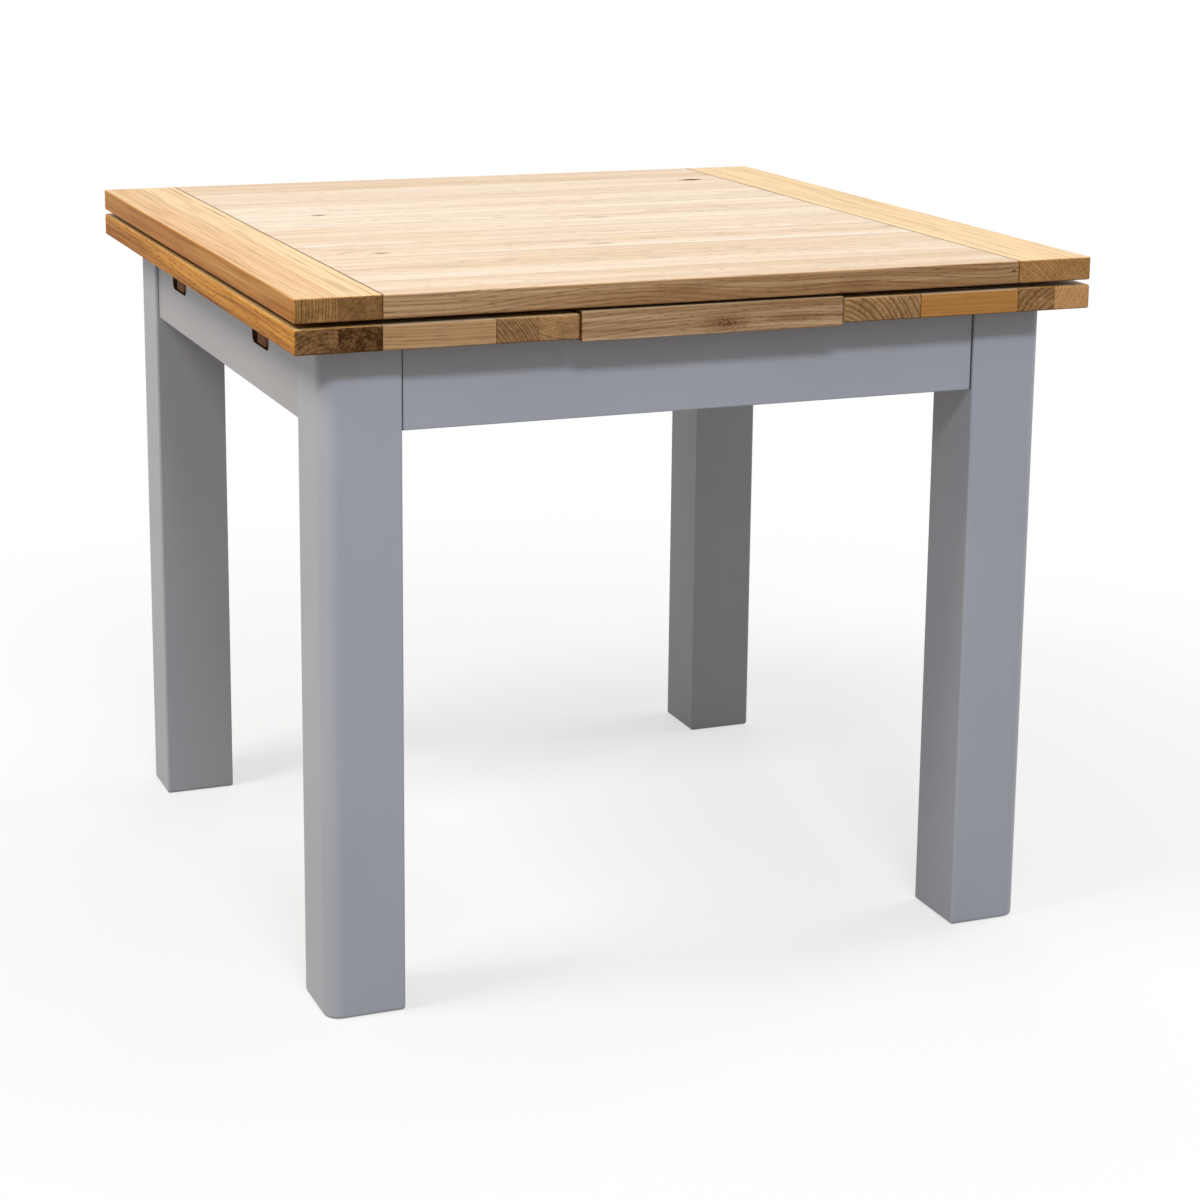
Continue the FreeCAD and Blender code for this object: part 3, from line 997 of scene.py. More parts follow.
@dataclass(frozen=True)
class FeltFinish:
    """Pressed wool felt.

    To the eye: matt grey-brown with a fibre nap. Sizes are in millimetres.
    """

    pale: str = "#8a8178"
    dark: str = "#5d554d"
    nap_size: float = 1.25
    tangle: float = 1.5
    roughness: float = 0.95
    sheen: float = 0.3
    bump_depth: float = 0.3

    def material(self, name: str) -> bpy.types.Material:
        """Build the felt.

        Args:
            name: Name of the material.

        Returns:
            The material.
        """
        material = new_material(name)
        tree = material.node_tree
        place = add_node(tree, Kind.COORDINATES, {}).outputs["Object"]
        scale = 1 / (self.nap_size * MM)
        feeds = {"Vector": place, "Scale": scale, "Detail": 5.0, "Distortion": self.tangle}
        nap = add_node(tree, Kind.NOISE, feeds)
        feeds = {SHARE: nap, UNDER: linear(self.dark), OVER: linear(self.pale)}
        colour = add_node(tree, Kind.MIX, feeds, data_type="RGBA").outputs[MIXED]
        feeds = {"Base Color": colour, "Roughness": self.roughness, "Sheen Weight": self.sheen}
        close_material(tree, feeds, nap, self.bump_depth)
        return material


@dataclass(frozen=True)
class Spot:
    """Where one copy stands: its foot in millimetres, and the way it points."""

    foot: Triple
    way: Triple = (0.0, 0.0, 1.0)


@dataclass(frozen=True)
class Thread:
    """A ridge wound round a shank, with lengths in millimetres.

    Attributes:
        start: Height at which it starts.
        turns: Count of its turns.
        pitch: Height of a turn.
        root: Radius of the shank.
        crest: Radius of the ridge.
        share: Share of the pitch that the ridge fills.
        sunk: How far the ridge reaches into the shank.
    """

    start: float
    turns: int
    pitch: float
    root: float
    crest: float
    share: float = 0.6
    sunk: float = 0.2


def draw_line(name: str, points: Profile) -> bpy.types.Object:
    """Draw a line in the XZ plane by extruding one vertex.

    Args:
        name: Name of the object.
        points: Distance from the Z axis and height of each point, in millimetres.

    Returns:
        The object, left in edit mode with its line selected.
    """
    bpy.ops.object.select_all(action="DESELECT")
    bpy.ops.mesh.primitive_plane_add(size=MM)
    line = bpy.context.active_object
    line.name = name
    bpy.ops.object.mode_set(mode="EDIT")
    bpy.ops.mesh.select_mode(type="VERT")
    bpy.ops.mesh.merge(type="CENTER")
    bpy.ops.transform.translate(value=(points[0][0] * MM, 0.0, points[0][1] * MM))
    for before, point in zip(points, points[1:]):
        step = ((point[0] - before[0]) * MM, 0.0, (point[1] - before[1]) * MM)
        bpy.ops.mesh.extrude_region_move(TRANSFORM_OT_translate={"value": step})
    bpy.ops.mesh.select_all(action="SELECT")
    return line


def turn_piece(name: str, points: Profile, flats: int) -> bpy.types.Object:
    """Turn a profile round the Z axis, as on a lathe.

    Args:
        name: Name of the object.
        points: Radius and height of each point of the profile, in millimetres.
        flats: Count of flats round the piece.

    Returns:
        The closed piece.
    """
    piece = draw_line(name, points)
    bpy.ops.mesh.spin(steps=flats, angle=math.tau, center=(0, 0, 0), axis=(0, 0, 1))
    bpy.ops.mesh.select_all(action="SELECT")
    bpy.ops.mesh.remove_doubles(threshold=MERGE_SPAN)
    bpy.ops.mesh.normals_make_consistent(inside=False)
    bpy.ops.object.mode_set(mode="OBJECT")
    return piece


def pick_faces(piece: bpy.types.Object, test: Callable[[bpy.types.MeshPolygon], bool]) -> None:
    """Go into edit mode with the faces selected that pass a test.

    Args:
        piece: The piece.
        test: Says of a face whether it is wanted.
    """
    bpy.ops.object.mode_set(mode="EDIT")
    bpy.ops.mesh.select_mode(type="FACE")
    bpy.ops.mesh.select_all(action="DESELECT")
    bpy.ops.object.mode_set(mode="OBJECT")
    for face in piece.data.polygons:
        face.select = test(face)
    bpy.ops.object.mode_set(mode="EDIT")


def combine(piece: bpy.types.Object, other: bpy.types.Object, way: Combine) -> None:
    """Bring two solids together in the first, and drop the second.

    Args:
        piece: The solid that stays.
        other: The solid that it is fused with, cut by or trimmed to.
        way: How they are brought together.
    """
    boolean = piece.modifiers.new("combine", "BOOLEAN")
    boolean.object = other
    boolean.operation = way.value
    boolean.solver = "MANIFOLD"
    bpy.context.view_layer.objects.active = piece
    bpy.ops.object.modifier_apply(modifier=boolean.name)
    bpy.data.objects.remove(other)


def wind_thread(piece: bpy.types.Object, thread: Thread, flats: int = 16) -> None:
    """Wind a ridge round a turned shank and fuse it on.

    Args:
        piece: The shank.
        thread: The ridge.
        flats: Count of flats in a turn.
    """
    half = thread.pitch * thread.share / 2
    inside = thread.root - thread.sunk
    section = ((inside, thread.start - half), (thread.crest, thread.start), (inside, thread.start + half))
    ridge = draw_line("ridge", (*section, section[0]))
    bpy.ops.mesh.remove_doubles(threshold=MERGE_SPAN)
    bpy.ops.object.mode_set(mode="OBJECT")
    winding = ridge.modifiers.new("wind", "SCREW")
    winding.steps = winding.render_steps = flats
    winding.iterations = thread.turns
    winding.screw_offset = thread.pitch * MM
    bpy.ops.object.modifier_apply(modifier=winding.name)
    # Both ends of the ridge run out into the shank before they are closed
    bpy.ops.object.mode_set(mode="EDIT")
    bpy.ops.mesh.select_all(action="DESELECT")
    bpy.ops.mesh.select_non_manifold(
        extend=False, use_wire=False, use_multi_face=False, use_non_contiguous=False
    )
    runout = inside / thread.crest
    bpy.ops.transform.resize(value=(runout, runout, 1.0), center_override=(0.0, 0.0, 0.0))
    bpy.ops.mesh.fill_holes(sides=len(section))
    bpy.ops.mesh.select_all(action="SELECT")
    bpy.ops.mesh.normals_make_consistent(inside=False)
    bpy.ops.object.mode_set(mode="OBJECT")
    combine(piece, ridge, Combine.FUSE)


def set_copies(model: bpy.types.Object, name: str, spots: list[Spot]) -> bpy.types.Object:
    """Stand copies of a model in their places, as one piece.

    Args:
        model: The model, with its foot at the origin, pointing up. It is dropped.
        name: Name of the piece.
        spots: Where the copies stand.

    Returns:
        The piece, at the origin, with its place in its mesh.
    """
    copies = []
    for spot in spots:
        bpy.ops.object.select_all(action="DESELECT")
        model.select_set(True)
        bpy.context.view_layer.objects.active = model
        bpy.ops.object.duplicate(linked=False)
        copy = bpy.context.active_object
        turn = Vector(spot.way).to_track_quat("Z", "Y").to_matrix().to_4x4()
        copy.matrix_world = Matrix.Translation(Vector(spot.foot) * MM) @ turn
        bpy.ops.object.transform_apply(location=True, rotation=True, scale=True)
        copies.append(copy)
    for copy in copies:
        copy.select_set(True)
    bpy.context.view_layer.objects.active = copies[0]
    bpy.ops.object.join()
    piece = bpy.context.active_object
    piece.name = name
    piece.data.name = name
    bpy.data.objects.remove(model)
    bpy.ops.object.shade_smooth_by_angle(angle=math.radians(SMOOTH_ANGLE))
    return piece


def fit_piece(
    piece: bpy.types.Object, body: str, node: str, material: bpy.types.Material
) -> None:
    """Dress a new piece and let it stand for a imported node.

    Args:
        piece: The piece.
        body: Body that it moves with.
        node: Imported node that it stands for.
        material: Its material.
    """
    piece.data.materials.clear()
    piece.data.materials.append(material)
    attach(piece, body)
    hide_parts(node)
    LOG.info("%s stands for %s", piece.name, node)


def dress(nodes: Nodes, name: str, material: bpy.types.Material) -> None:
    """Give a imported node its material.

    Args:
        nodes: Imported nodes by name.
        name: Name of the node.
        material: Its material.
    """
    mesh = nodes[name].data
    mesh.materials.clear()
    mesh.materials.append(material)
    LOG.info("%s takes %s", name, material.name)


def board_strips(
    shares: tuple[float, ...], depth: float, seed: int, tones: tuple[float, ...]
) -> list[Strip]:
    """Lay out the boards of a panel from the front to the back.

    Args:
        shares: Share of the depth that each board takes.
        depth: Depth of the panel in millimetres.
        seed: Start of the random draws of this panel.
        tones: Share of the deeper colour in each board.

    Returns:
        The boards, each with its own figure.
    """
    draw = random.Random(seed)
    start = -depth / 2
    strips = []
    for share, tone in zip(shares, tones):
        end = start + depth * share / sum(shares)
        aside = draw.uniform(-HEART_ASIDE, HEART_ASIDE)
        heart = (aside, draw.choice((-1, 1)) * draw.uniform(*HEART_DEPTH))
        ring = draw.uniform(*RING_WIDTH)
        strips.append(Strip(start, end, heart, tone, BOARD_END_TONE, ring, draw.uniform(*FIGURE_SHIFT)))
        start = end
    return strips


@dataclass
class LooseTop:
    """The loose top: boards across and a cleat at each end, in millimetres."""

    depth: float = 900.0
    level: float = 762.5
    cleat_line: float = 360.0
    edge: float = 450.0
    seed: int = 11
    board_seams: float = 0.6
    cleat_seams: float = 0.25
    shares: tuple[float, ...] = (0.091, 0.092, 0.080, 0.100, 0.089, 0.088, 0.107, 0.129, 0.127, 0.097)
    tones: tuple[float, ...] = (0.74, 0.36, 0.60, 0.40, 0.36, 0.44, 0.20, 0.52, 0.44, 0.85)
    boards: OakFinish = field(
        default_factory=lambda: OakFinish(
            face_pale="#e6d4bd",
            face_deep="#d0b18a",
            edge_pale="#ecc79b",
            edge_deep="#b0875c",
            joint="#643c1b",
            edge_mark=0.35,
            edge_pore=0.50,
            pore_size=(14.0, 2.0),
            band_mark=2.7,
            streak_mark=1.6,
            fibre_mark=1.2,
            joint_width=2.6,
            end_width=4.4,
        )
    )
    cleats: OakFinish = field(
        default_factory=lambda: OakFinish(
            face_pale="#e9c88f",
            face_deep="#cf9a54",
            edge_pale="#d6a05c",
            edge_deep="#b67430",
            face_mark=0.35,
            face_pore=0.65,
            edge_pore=0.65,
            pore_size=(150.0, 2.2),
            drift=0.35,
        )
    )
    knots: tuple[Knot, ...] = (
        Knot((-258, 132, 775), (10, 6, 30), strength=0.85, swirl=7.0, torn=0.5),
        Knot((-278, -185, 775), (10, 4.5, 30), strength=0.85, swirl=6.0, torn=0.5),
        Knot((312, 326, 775), (17, 8, 30), strength=1.0, swirl=4.0, torn=0.5),
        Knot((-22, -187, 775), (20, 5, 30), strength=0.60, swirl=3.0),
        Knot((54, 16, 775), (18, 6, 30), strength=0.55, swirl=3.0),
        Knot((353, -450, 764), (3, 6, 2.4), strength=0.80, swirl=2.0),
        Knot((165, -452, 761), (34, 16, 11), strength=0.25, swirl=12.0, torn=1.1),
        Knot((-35, -452, 764), (48, 16, 9), strength=0.22, swirl=10.0, torn=1.1),
    )

    def panels(self) -> list[tuple[Panel, OakFinish]]:
        """List the panels of the top.

        Returns:
            Each panel with its finish.
        """
        strips = board_strips(self.shares, self.depth, self.seed, self.tones)
        lines = (-self.cleat_line, self.cleat_line)
        boards = Panel(
            "top_boards", Grain.ALONG_X, strips, self.level, lines, self.knots, self.board_seams
        )
        middle = (self.cleat_line + self.edge) / 2
        left = [
            Strip(-self.edge, -middle, heart=(-160, 5), tone=0.48, end_tone=0.40, ring=3.4, shift=3.1),
            Strip(
                -middle, -self.cleat_line, heart=(90, -120), tone=0.30, end_tone=0.56, ring=1.7, shift=9.4
            ),
        ]
        right = [
            Strip(
                self.cleat_line, self.edge, heart=(-70, -55), tone=0.0, end_tone=0.14, ring=2.2, shift=17.7
            )
        ]
        cleats = [
            (Panel(node, Grain.ALONG_Y, wood, self.level, seams=self.cleat_seams), self.cleats)
            for node, wood in (("top_cleat_left", left), ("top_cleat_right", right))
        ]
        return [(boards, self.boards), *cleats]

    def dress(self, nodes: Nodes) -> None:
        """Cover the top's nodes.

        Args:
            nodes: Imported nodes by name.
        """
        for panel, finish in self.panels():
            dress(nodes, panel.node, finish.material(panel))


@dataclass
class DrawLeaf:
    """One draw leaf: boards across, an outer and an inner cleat, in millimetres."""

    side: Side
    depth: float = 900.0
    level: float = 731.5
    lines: tuple[float, float, float, float] = (450.0, 360.0, 240.0, 150.0)
    left_seed: int = 23
    right_seed: int = 31
    cleat_seams: float = 0.3
    shares: tuple[float, ...] = (0.118, 0.104, 0.131, 0.096, 0.122, 0.109, 0.093, 0.127, 0.100)
    left_tones: tuple[float, ...] = (0.45, 0.25, 0.60, 0.15, 0.40, 0.50, 0.20, 0.55, 0.35)
    right_tones: tuple[float, ...] = (0.50, 0.30, 0.15, 0.55, 0.40, 0.20, 0.60, 0.35, 0.45)
    plain: OakFinish = field(default_factory=lambda: OakFinish(sheen=0.15))
    warm: OakFinish = field(
        default_factory=lambda: OakFinish(
            face_pale="#dcb478",
            face_deep="#c08a45",
            edge_pale="#e6a446",
            edge_deep="#9c591b",
            end_pale="#e4b076",
            pore="#4f2407",
            edge_mark=0.32,
            end_mark=0.55,
            edge_pore=0.55,
            pore_size=(16.0, 2.4),
            streak_mark=2.2,
            fibre_mark=1.8,
            drift=0.5,
            sheen=0.15,
        )
    )
    honey: OakFinish = field(
        default_factory=lambda: OakFinish(
            edge_pale="#d49c59", edge_deep="#c48849", edge_mark=0.1, edge_pore=0.25, sheen=0.15
        )
    )
    heel: OakFinish = field(
        default_factory=lambda: OakFinish(
            face_pale="#e9c88f", face_deep="#cf9a54", end_pale="#d8ab76", sheen=0.15
        )
    )

    def panels(self) -> list[tuple[Panel, OakFinish]]:
        """List the panels of the leaf.

        Returns:
            Each panel with its finish.
        """
        rim, outer, inner, back = self.lines
        mid_out, mid_in = (rim + outer) / 2, (inner + back) / 2
        if self.side is Side.LEFT:
            strips = board_strips(self.shares, self.depth, self.left_seed, self.left_tones)
            ends, finish = (-outer, -inner), self.plain
            rims = [
                Strip(-rim, -mid_out, heart=(8, -34), tone=0.45, end_tone=0.74, ring=5.0, shift=5.3),
                Strip(-mid_out, -outer, heart=(140, -90), tone=0.40, end_tone=0.93, ring=1.8, shift=12.9),
            ]
            heels = [
                Strip(-inner, -mid_in, heart=(-120, -80), tone=0.35, end_tone=0.50, ring=3.2, shift=21.3),
                Strip(-mid_in, -back, heart=(30, 140), tone=0.30, end_tone=0.26, ring=1.7, shift=27.8),
            ]
        else:
            strips = board_strips(self.shares[::-1], self.depth, self.right_seed, self.right_tones)
            ends, finish = (inner, outer), self.honey
            rims = [
                Strip(outer, mid_out, heart=(45, -50), tone=0.40, end_tone=0.52, ring=6.5, shift=33.2),
                Strip(mid_out, rim, heart=(-100, 60), tone=0.40, end_tone=-0.12, ring=2.6, shift=36.1),
            ]
            heels = [Strip(back, inner, heart=(-62, -50), tone=0.35, end_tone=0.34, ring=5.6, shift=39.9)]
        leaf = self.side.name.lower() + "_leaf"
        cleats = [
            (Panel(leaf + name, Grain.ALONG_Y, wood, self.level, seams=self.cleat_seams), oak)
            for name, wood, oak in (
                ("_outer_cleat", rims, self.warm),
                ("_inner_cleat", heels, self.heel),
            )
        ]
        return [(Panel(leaf + "_boards", Grain.ALONG_X, strips, self.level, ends), finish), *cleats]

    def dress(self, nodes: Nodes) -> None:
        """Cover the leaf's nodes.

        Args:
            nodes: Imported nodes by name.
        """
        for panel, finish in self.panels():
            dress(nodes, panel.node, finish.material(panel))


@dataclass
class CentreBoard:
    """The fixed board between the leaves, with its felt pads, in millimetres."""

    depth: float = 900.0
    level: float = 731.25
    seed: int = 47
    shares: tuple[float, ...] = (0.126, 0.098, 0.117, 0.109, 0.121, 0.095, 0.113, 0.106, 0.115)
    tones: tuple[float, ...] = (0.76, 0.30, 0.55, 0.20, 0.40, 0.50, 0.25, 0.60, 0.35)
    oak: OakFinish = field(
        default_factory=lambda: OakFinish(
            edge_pale="#e9c79c",
            edge_deep="#ac855c",
            edge_mark=0.35,
            edge_pore=0.52,
            pore_size=(14.0, 2.0),
        )
    )
    knots: tuple[Knot, ...] = (
        Knot((12, -452, 727), (40, 24, 11), strength=0.55, swirl=9.0, torn=1.0),
        Knot((14, -452, 726), (30, 24, 12), strength=1.00, swirl=0.0, torn=1.7),
        Knot((88, -452, 728), (46, 24, 8), strength=0.40, swirl=7.0, torn=1.1),
    )
    pad_place: Triple = (114.345, 391.5, 747.0)
    pad_profile: Profile = (
        (0.0, 0.0),
        (5.5, 0.0),
        (10.9, 0.0),
        (11.5, 0.3),
        (11.9, 0.9),
        (12.0, 1.5),
        (11.9, 2.1),
        (11.5, 2.7),
        (10.9, 3.0),
        (5.5, 3.0),
        (0.0, 3.0),
    )
    pad_flats: int = 40
    pad_rim: float = 0.7
    pad_nap: float = 0.12
    pad_seed: int = 5
    pad_fill: float = 0.9
    felt: FeltFinish = field(default_factory=FeltFinish)

    def _pads(self) -> None:
        """Make the felt pads, pressed flat between the boards with ragged round rims."""
        model = turn_piece("felt_pad", self.pad_profile, self.pad_flats)
        pick_faces(model, lambda face: abs(face.normal.z) < self.pad_rim)
        bpy.ops.transform.vertex_random(
            offset=self.pad_nap * MM, uniform=1.0, normal=0.0, seed=self.pad_seed
        )
        bpy.ops.object.mode_set(mode="OBJECT")
        x, y, z = self.pad_place
        spots = [Spot((sx * x, sy * y, z)) for sx in (-1, 1) for sy in (-1, 1)]
        pads = set_copies(model, "wool_felt_pads", spots)
        fit_piece(pads, "frame", "felt_pads", self.felt.material("wool_felt"))

    def dress(self, nodes: Nodes) -> None:
        """Cover the board's node and set its pads on it.

        Args:
            nodes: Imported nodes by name.
        """
        strips = board_strips(self.shares, self.depth, self.seed, self.tones)
        panel = Panel("centre_board", Grain.ALONG_X, strips, self.level, knots=self.knots)
        dress(nodes, panel.node, self.oak.material(panel))
        self._pads()


@dataclass
class PaintedFrame:
    """Legs and aprons, in millimetres."""

    leg_inside: float = 328.0
    notch_floor: float = 676.5
    paint: PaintFinish = field(default_factory=PaintFinish)
    # Painted shade: the end aprons take a darker, warmer copy of the same paint, for the leaves' shadow and
    # the warm light thrown from the oak
    shaded_end_paint: PaintFinish = field(
        default_factory=lambda: PaintFinish(colour="#b6b7bb", shade="#b0b1b5")
    )

    def dress(self, nodes: Nodes) -> None:
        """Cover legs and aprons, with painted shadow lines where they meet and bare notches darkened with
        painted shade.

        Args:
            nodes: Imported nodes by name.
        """
        upright = self.paint.material("eggshell_paint_upright", Grain.ALONG_Z)
        for corner in CORNERS:
            dress(nodes, "leg_" + corner, upright)
        across = self.paint.material("eggshell_paint_across", Grain.ALONG_X, self.leg_inside)
        for name in ("apron_front", "apron_back"):
            dress(nodes, name, across)
        # Painted shade: the end aprons take the darker, warmer copy of the paint
        endwise = self.shaded_end_paint.material(
            "eggshell_paint_endwise", Grain.ALONG_Y, self.leg_inside, self.notch_floor
        )
        for name in ("apron_left", "apron_right"):
            dress(nodes, name, endwise)


@dataclass
class RunningGear:
    """Lopers, rails, blocks, pins, dowels and tongues, in millimetres."""

    beech: BeechFinish = field(default_factory=BeechFinish)
    ply: PlyFinish = field(default_factory=PlyFinish)
    dowel_place: Triple = (0.0, 250.0, 725.0)
    dowel_flats: int = 32
    dowel_profile: Profile = (
        (0.0, 0.0),
        (4.4, 0.0),
        (5.4, 0.5),
        (6.0, 1.6),
        (6.0, 40.4),
        (5.4, 41.5),
        (4.4, 42.0),
        (0.0, 42.0),
    )

    def dress(self, nodes: Nodes) -> None:
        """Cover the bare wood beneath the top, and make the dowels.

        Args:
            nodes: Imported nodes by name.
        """
        along_x = self.beech.material("beech_along", Grain.ALONG_X)
        along_y = self.beech.material("beech_across", Grain.ALONG_Y)
        upright = self.beech.material("beech_upright", Grain.ALONG_Z)
        for side in ("left", "right"):
            for place in ("front", "back"):
                dress(nodes, f"{side}_loper_{place}", along_x)
            dress(nodes, f"{side}_stop_pins", along_y)
            dress(nodes, f"cross_rail_{side}", along_y)
        for place in ("front", "back"):
            dress(nodes, f"fixing_block_{place}", along_x)
        for corner in CORNERS:
            dress(nodes, "corner_block_" + corner, upright)
        x, y, z = self.dowel_place
        model = turn_piece("dowel", self.dowel_profile, self.dowel_flats)
        dowels = set_copies(model, "turned_dowels", [Spot((x, -y, z)), Spot((x, y, z))])
        fit_piece(dowels, "top_dowels", "locating_dowels", upright)
        ply = self.ply.material("birch_plywood")
        for name in ("top_tongues", "left_leaf_tongues", "right_leaf_tongues"):
            dress(nodes, name, ply)


@dataclass
class Fasteners:
    """Wood screws, and a hanger bolt, washer and nut at each leg, in millimetres."""

    leaf_screw_length: float = 26.0
    block_screw_length: float = 28.0
    screw_flats: int = 20
    head_profile: Profile = (
        (0.0, 0.0),
        (2.4, 0.1),
        (3.5, 0.5),
        (4.2, 1.2),
        (4.5, 2.1),
        (4.5, 3.0),
        (2.0, 3.0),
        (2.0, 7.5),
        (1.6, 8.2),
    )
    shank_root: float = 1.6
    shank_crest: float = 2.25
    tip_length: float = 4.5
    screw_pitch: float = 2.0
    thread_start: float = 9.0
    bit_width: float = 1.0
    bit_wing: float = 1.1
    bit_depth: float = 1.8
    bit_taper: float = 0.6
    bolt_flats: int = 24
    bolt_profile: Profile = (
        (0.0, 0.0),
        (2.9, 5.0),
        (2.9, 30.0),
        (3.9, 31.0),
        (3.9, 57.0),
        (3.4, 57.6),
        (3.4, 71.0),
        (2.7, 72.0),
        (0.0, 72.0),
    )
    bolt_threads: tuple[Thread, ...] = (
        Thread(start=5.5, turns=7, pitch=3.2, root=2.9, crest=4.0),
        Thread(start=58.4, turns=10, pitch=1.25, root=3.4, crest=4.0, share=0.8),
    )
    washer_flats: int = 40
    washer_profile: Profile = (
        (4.3, 0.2),
        (4.5, 0.0),
        (10.6, 0.0),
        (11.0, 0.4),
        (11.0, 1.6),
        (10.6, 2.0),
        (4.5, 2.0),
        (4.3, 1.8),
        (4.3, 0.2),
    )
    nut_flats: int = 48
    nut_corner: float = 7.5
    nut_height: float = 7.0
    nut_turn: float = 30.0
    nut_shape: Profile = (
        (0.0, 0.0),
        (6.3, 0.0),
        (7.6, 0.75),
        (7.6, 6.25),
        (6.3, 7.0),
        (0.0, 7.0),
    )
    nut_bore: Profile = (
        (0.0, -1.0),
        (4.7, -1.0),
        (4.7, 0.0),
        (4.03, 0.7),
        (4.03, 6.3),
        (4.7, 7.0),
        (4.7, 8.0),
        (0.0, 8.0),
    )
    leaf_screw_x: tuple[float, ...] = (337.5, 300.0, 262.5)
    leaf_screw_y: tuple[float, ...] = (-168.0, 212.0)
    leaf_screw_foot: float = 704.5
    fixing_up_x: float = 60.0
    fixing_side_x: float = 30.0
    fixing_foot: float = 701.5
    inside: float = 374.0
    corner_screw: float = 264.32
    corner_levels: Pair = (657.5, 685.5)
    bolt_point: Triple = (335.0, 335.0, 671.5)
    bolt_grip: float = 34.0
    washer_at: float = 25.0
    nut_at: float = 27.0
    steel: ZincFinish = field(default_factory=ZincFinish)

    def dress(self, nodes: Nodes) -> None:
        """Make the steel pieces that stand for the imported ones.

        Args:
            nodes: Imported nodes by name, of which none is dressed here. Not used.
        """
        zinc = self.steel.material("zinc_plated_steel")
        for body, side in (("left_leaf", Side.LEFT), ("right_leaf", Side.RIGHT)):
            screw = self._screw(self.leaf_screw_length)
            screws = set_copies(screw, body + "_wood_screws", self._leaf_spots(side))
            fit_piece(screws, body, body + "_screws", zinc)
        short = self.block_screw_length
        washer = turn_piece("washer", self.washer_profile, self.washer_flats)
        for name, node, model, spots in (
            ("fixing_wood_screws", "fixing_screws", self._screw(short), self._fixing_spots()),
            ("corner_wood_screws", "corner_block_screws", self._screw(short), self._corner_spots()),
            ("leg_hanger_bolts", "leg_bolts", self._bolt(), self._bolt_spots(-self.bolt_grip)),
            ("leg_flat_washers", "leg_bolt_washers", washer, self._bolt_spots(self.washer_at)),
            ("leg_hex_nuts", "leg_bolt_nuts", self._nut(), self._bolt_spots(self.nut_at)),
        ):
            fit_piece(set_copies(model, name, spots), "frame", node, zinc)

    def _screw(self, length: float) -> bpy.types.Object:
        """Model a pan-head wood screw with a cross recess.

        Args:
            length: Length over all, in millimetres.

        Returns:
            The screw, head down at the origin.
        """
        neck = length - self.tip_length
        profile = (*self.head_profile, (self.shank_root, neck), (0.0, length))
        screw = turn_piece("wood_screw", profile, self.screw_flats)
        turns = int((neck - self.thread_start) / self.screw_pitch)
        thread = Thread(self.thread_start, turns, self.screw_pitch, self.shank_root, self.shank_crest)
        wind_thread(screw, thread)
        combine(screw, self._bit(), Combine.CUT)
        return screw

    def _bit(self) -> bpy.types.Object:
        """Model the driver that leaves a cross recess: a post with four wings and a narrow end.

        Returns:
            The driver, with its end up and its middle at the origin.
        """
        turn = FACE_TURN[0]
        bpy.ops.object.select_all(action="DESELECT")
        bpy.ops.mesh.primitive_cube_add(size=self.bit_width * MM)
        bit = bpy.context.active_object
        pick_faces(bit, lambda face: abs(face.normal.z) < turn)
        bpy.ops.mesh.extrude_faces_move(TRANSFORM_OT_shrink_fatten={"value": self.bit_wing * MM})
        bpy.ops.mesh.select_all(action="SELECT")
        bpy.ops.transform.resize(value=(1.0, 1.0, 2 * self.bit_depth / self.bit_width))
        bpy.ops.object.mode_set(mode="OBJECT")
        pick_faces(bit, lambda face: face.normal.z > turn)
        narrow = (self.bit_taper, self.bit_taper, 1.0)
        bpy.ops.transform.resize(value=narrow, center_override=(0.0, 0.0, 0.0))
        bpy.ops.object.mode_set(mode="OBJECT")
        return bit

    def _bolt(self) -> bpy.types.Object:
        """Model a hanger bolt: a wood thread for the leg and a fine thread for the nut.

        Returns:
            The bolt, with its wood point at the origin.
        """
        bolt = turn_piece("hanger_bolt", self.bolt_profile, self.bolt_flats)
        for thread in self.bolt_threads:
            wind_thread(bolt, thread)
        return bolt

    def _nut(self) -> bpy.types.Object:
        """Model a hexagon nut, with its corners taken off and its bore chamfered.

        Returns:
            The nut, with one face at the origin.
        """
        nut = turn_piece("hex_nut", self.nut_shape, self.nut_flats)
        bpy.ops.object.select_all(action="DESELECT")
        bpy.ops.mesh.primitive_cylinder_add(
            vertices=6,
            radius=self.nut_corner * MM,
            depth=2 * self.nut_height * MM,
            location=(0.0, 0.0, self.nut_height * MM / 2),
            rotation=(0.0, 0.0, math.radians(self.nut_turn)),
        )
        combine(nut, bpy.context.active_object, Combine.TRIM)
        combine(nut, turn_piece("bore", self.nut_bore, self.bolt_flats), Combine.CUT)
        return nut

    def _leaf_spots(self, side: Side) -> list[Spot]:
        """Place one leaf's screws. The right leaf is the left one turned half round.

        Args:
            side: The leaf's side.

        Returns:
            Where the screws stand.
        """
        turn, foot = side.value, self.leaf_screw_foot
        return [Spot((turn * x, -turn * y, foot)) for y in self.leaf_screw_y for x in self.leaf_screw_x]

    def _fixing_spots(self) -> list[Spot]:
        """Place the screws up into the centre board and out into the aprons.

        Returns:
            Where the screws stand.
        """
        spots = []
        for wall in (-1, 1):
            y = wall * self.inside
            for end in (-1, 1):
                spots.append(Spot((end * self.fixing_up_x, y, self.fixing_foot)))
                spots.append(Spot((end * self.fixing_side_x, y, self.fixing_foot), (0, wall, 0)))
        return spots

    def _corner_spots(self) -> list[Spot]:
        """Place the corner blocks' screws.

        Returns:
            Where the screws stand.
        """
        spots = []
        for sx in (-1, 1):
            for sy in (-1, 1):
                for level in self.corner_levels:
                    spots.append(Spot((sx * self.corner_screw, sy * self.inside, level), (0, sy, 0)))
                    spots.append(Spot((sx * self.inside, sy * self.corner_screw, level), (sx, 0, 0)))
        return spots

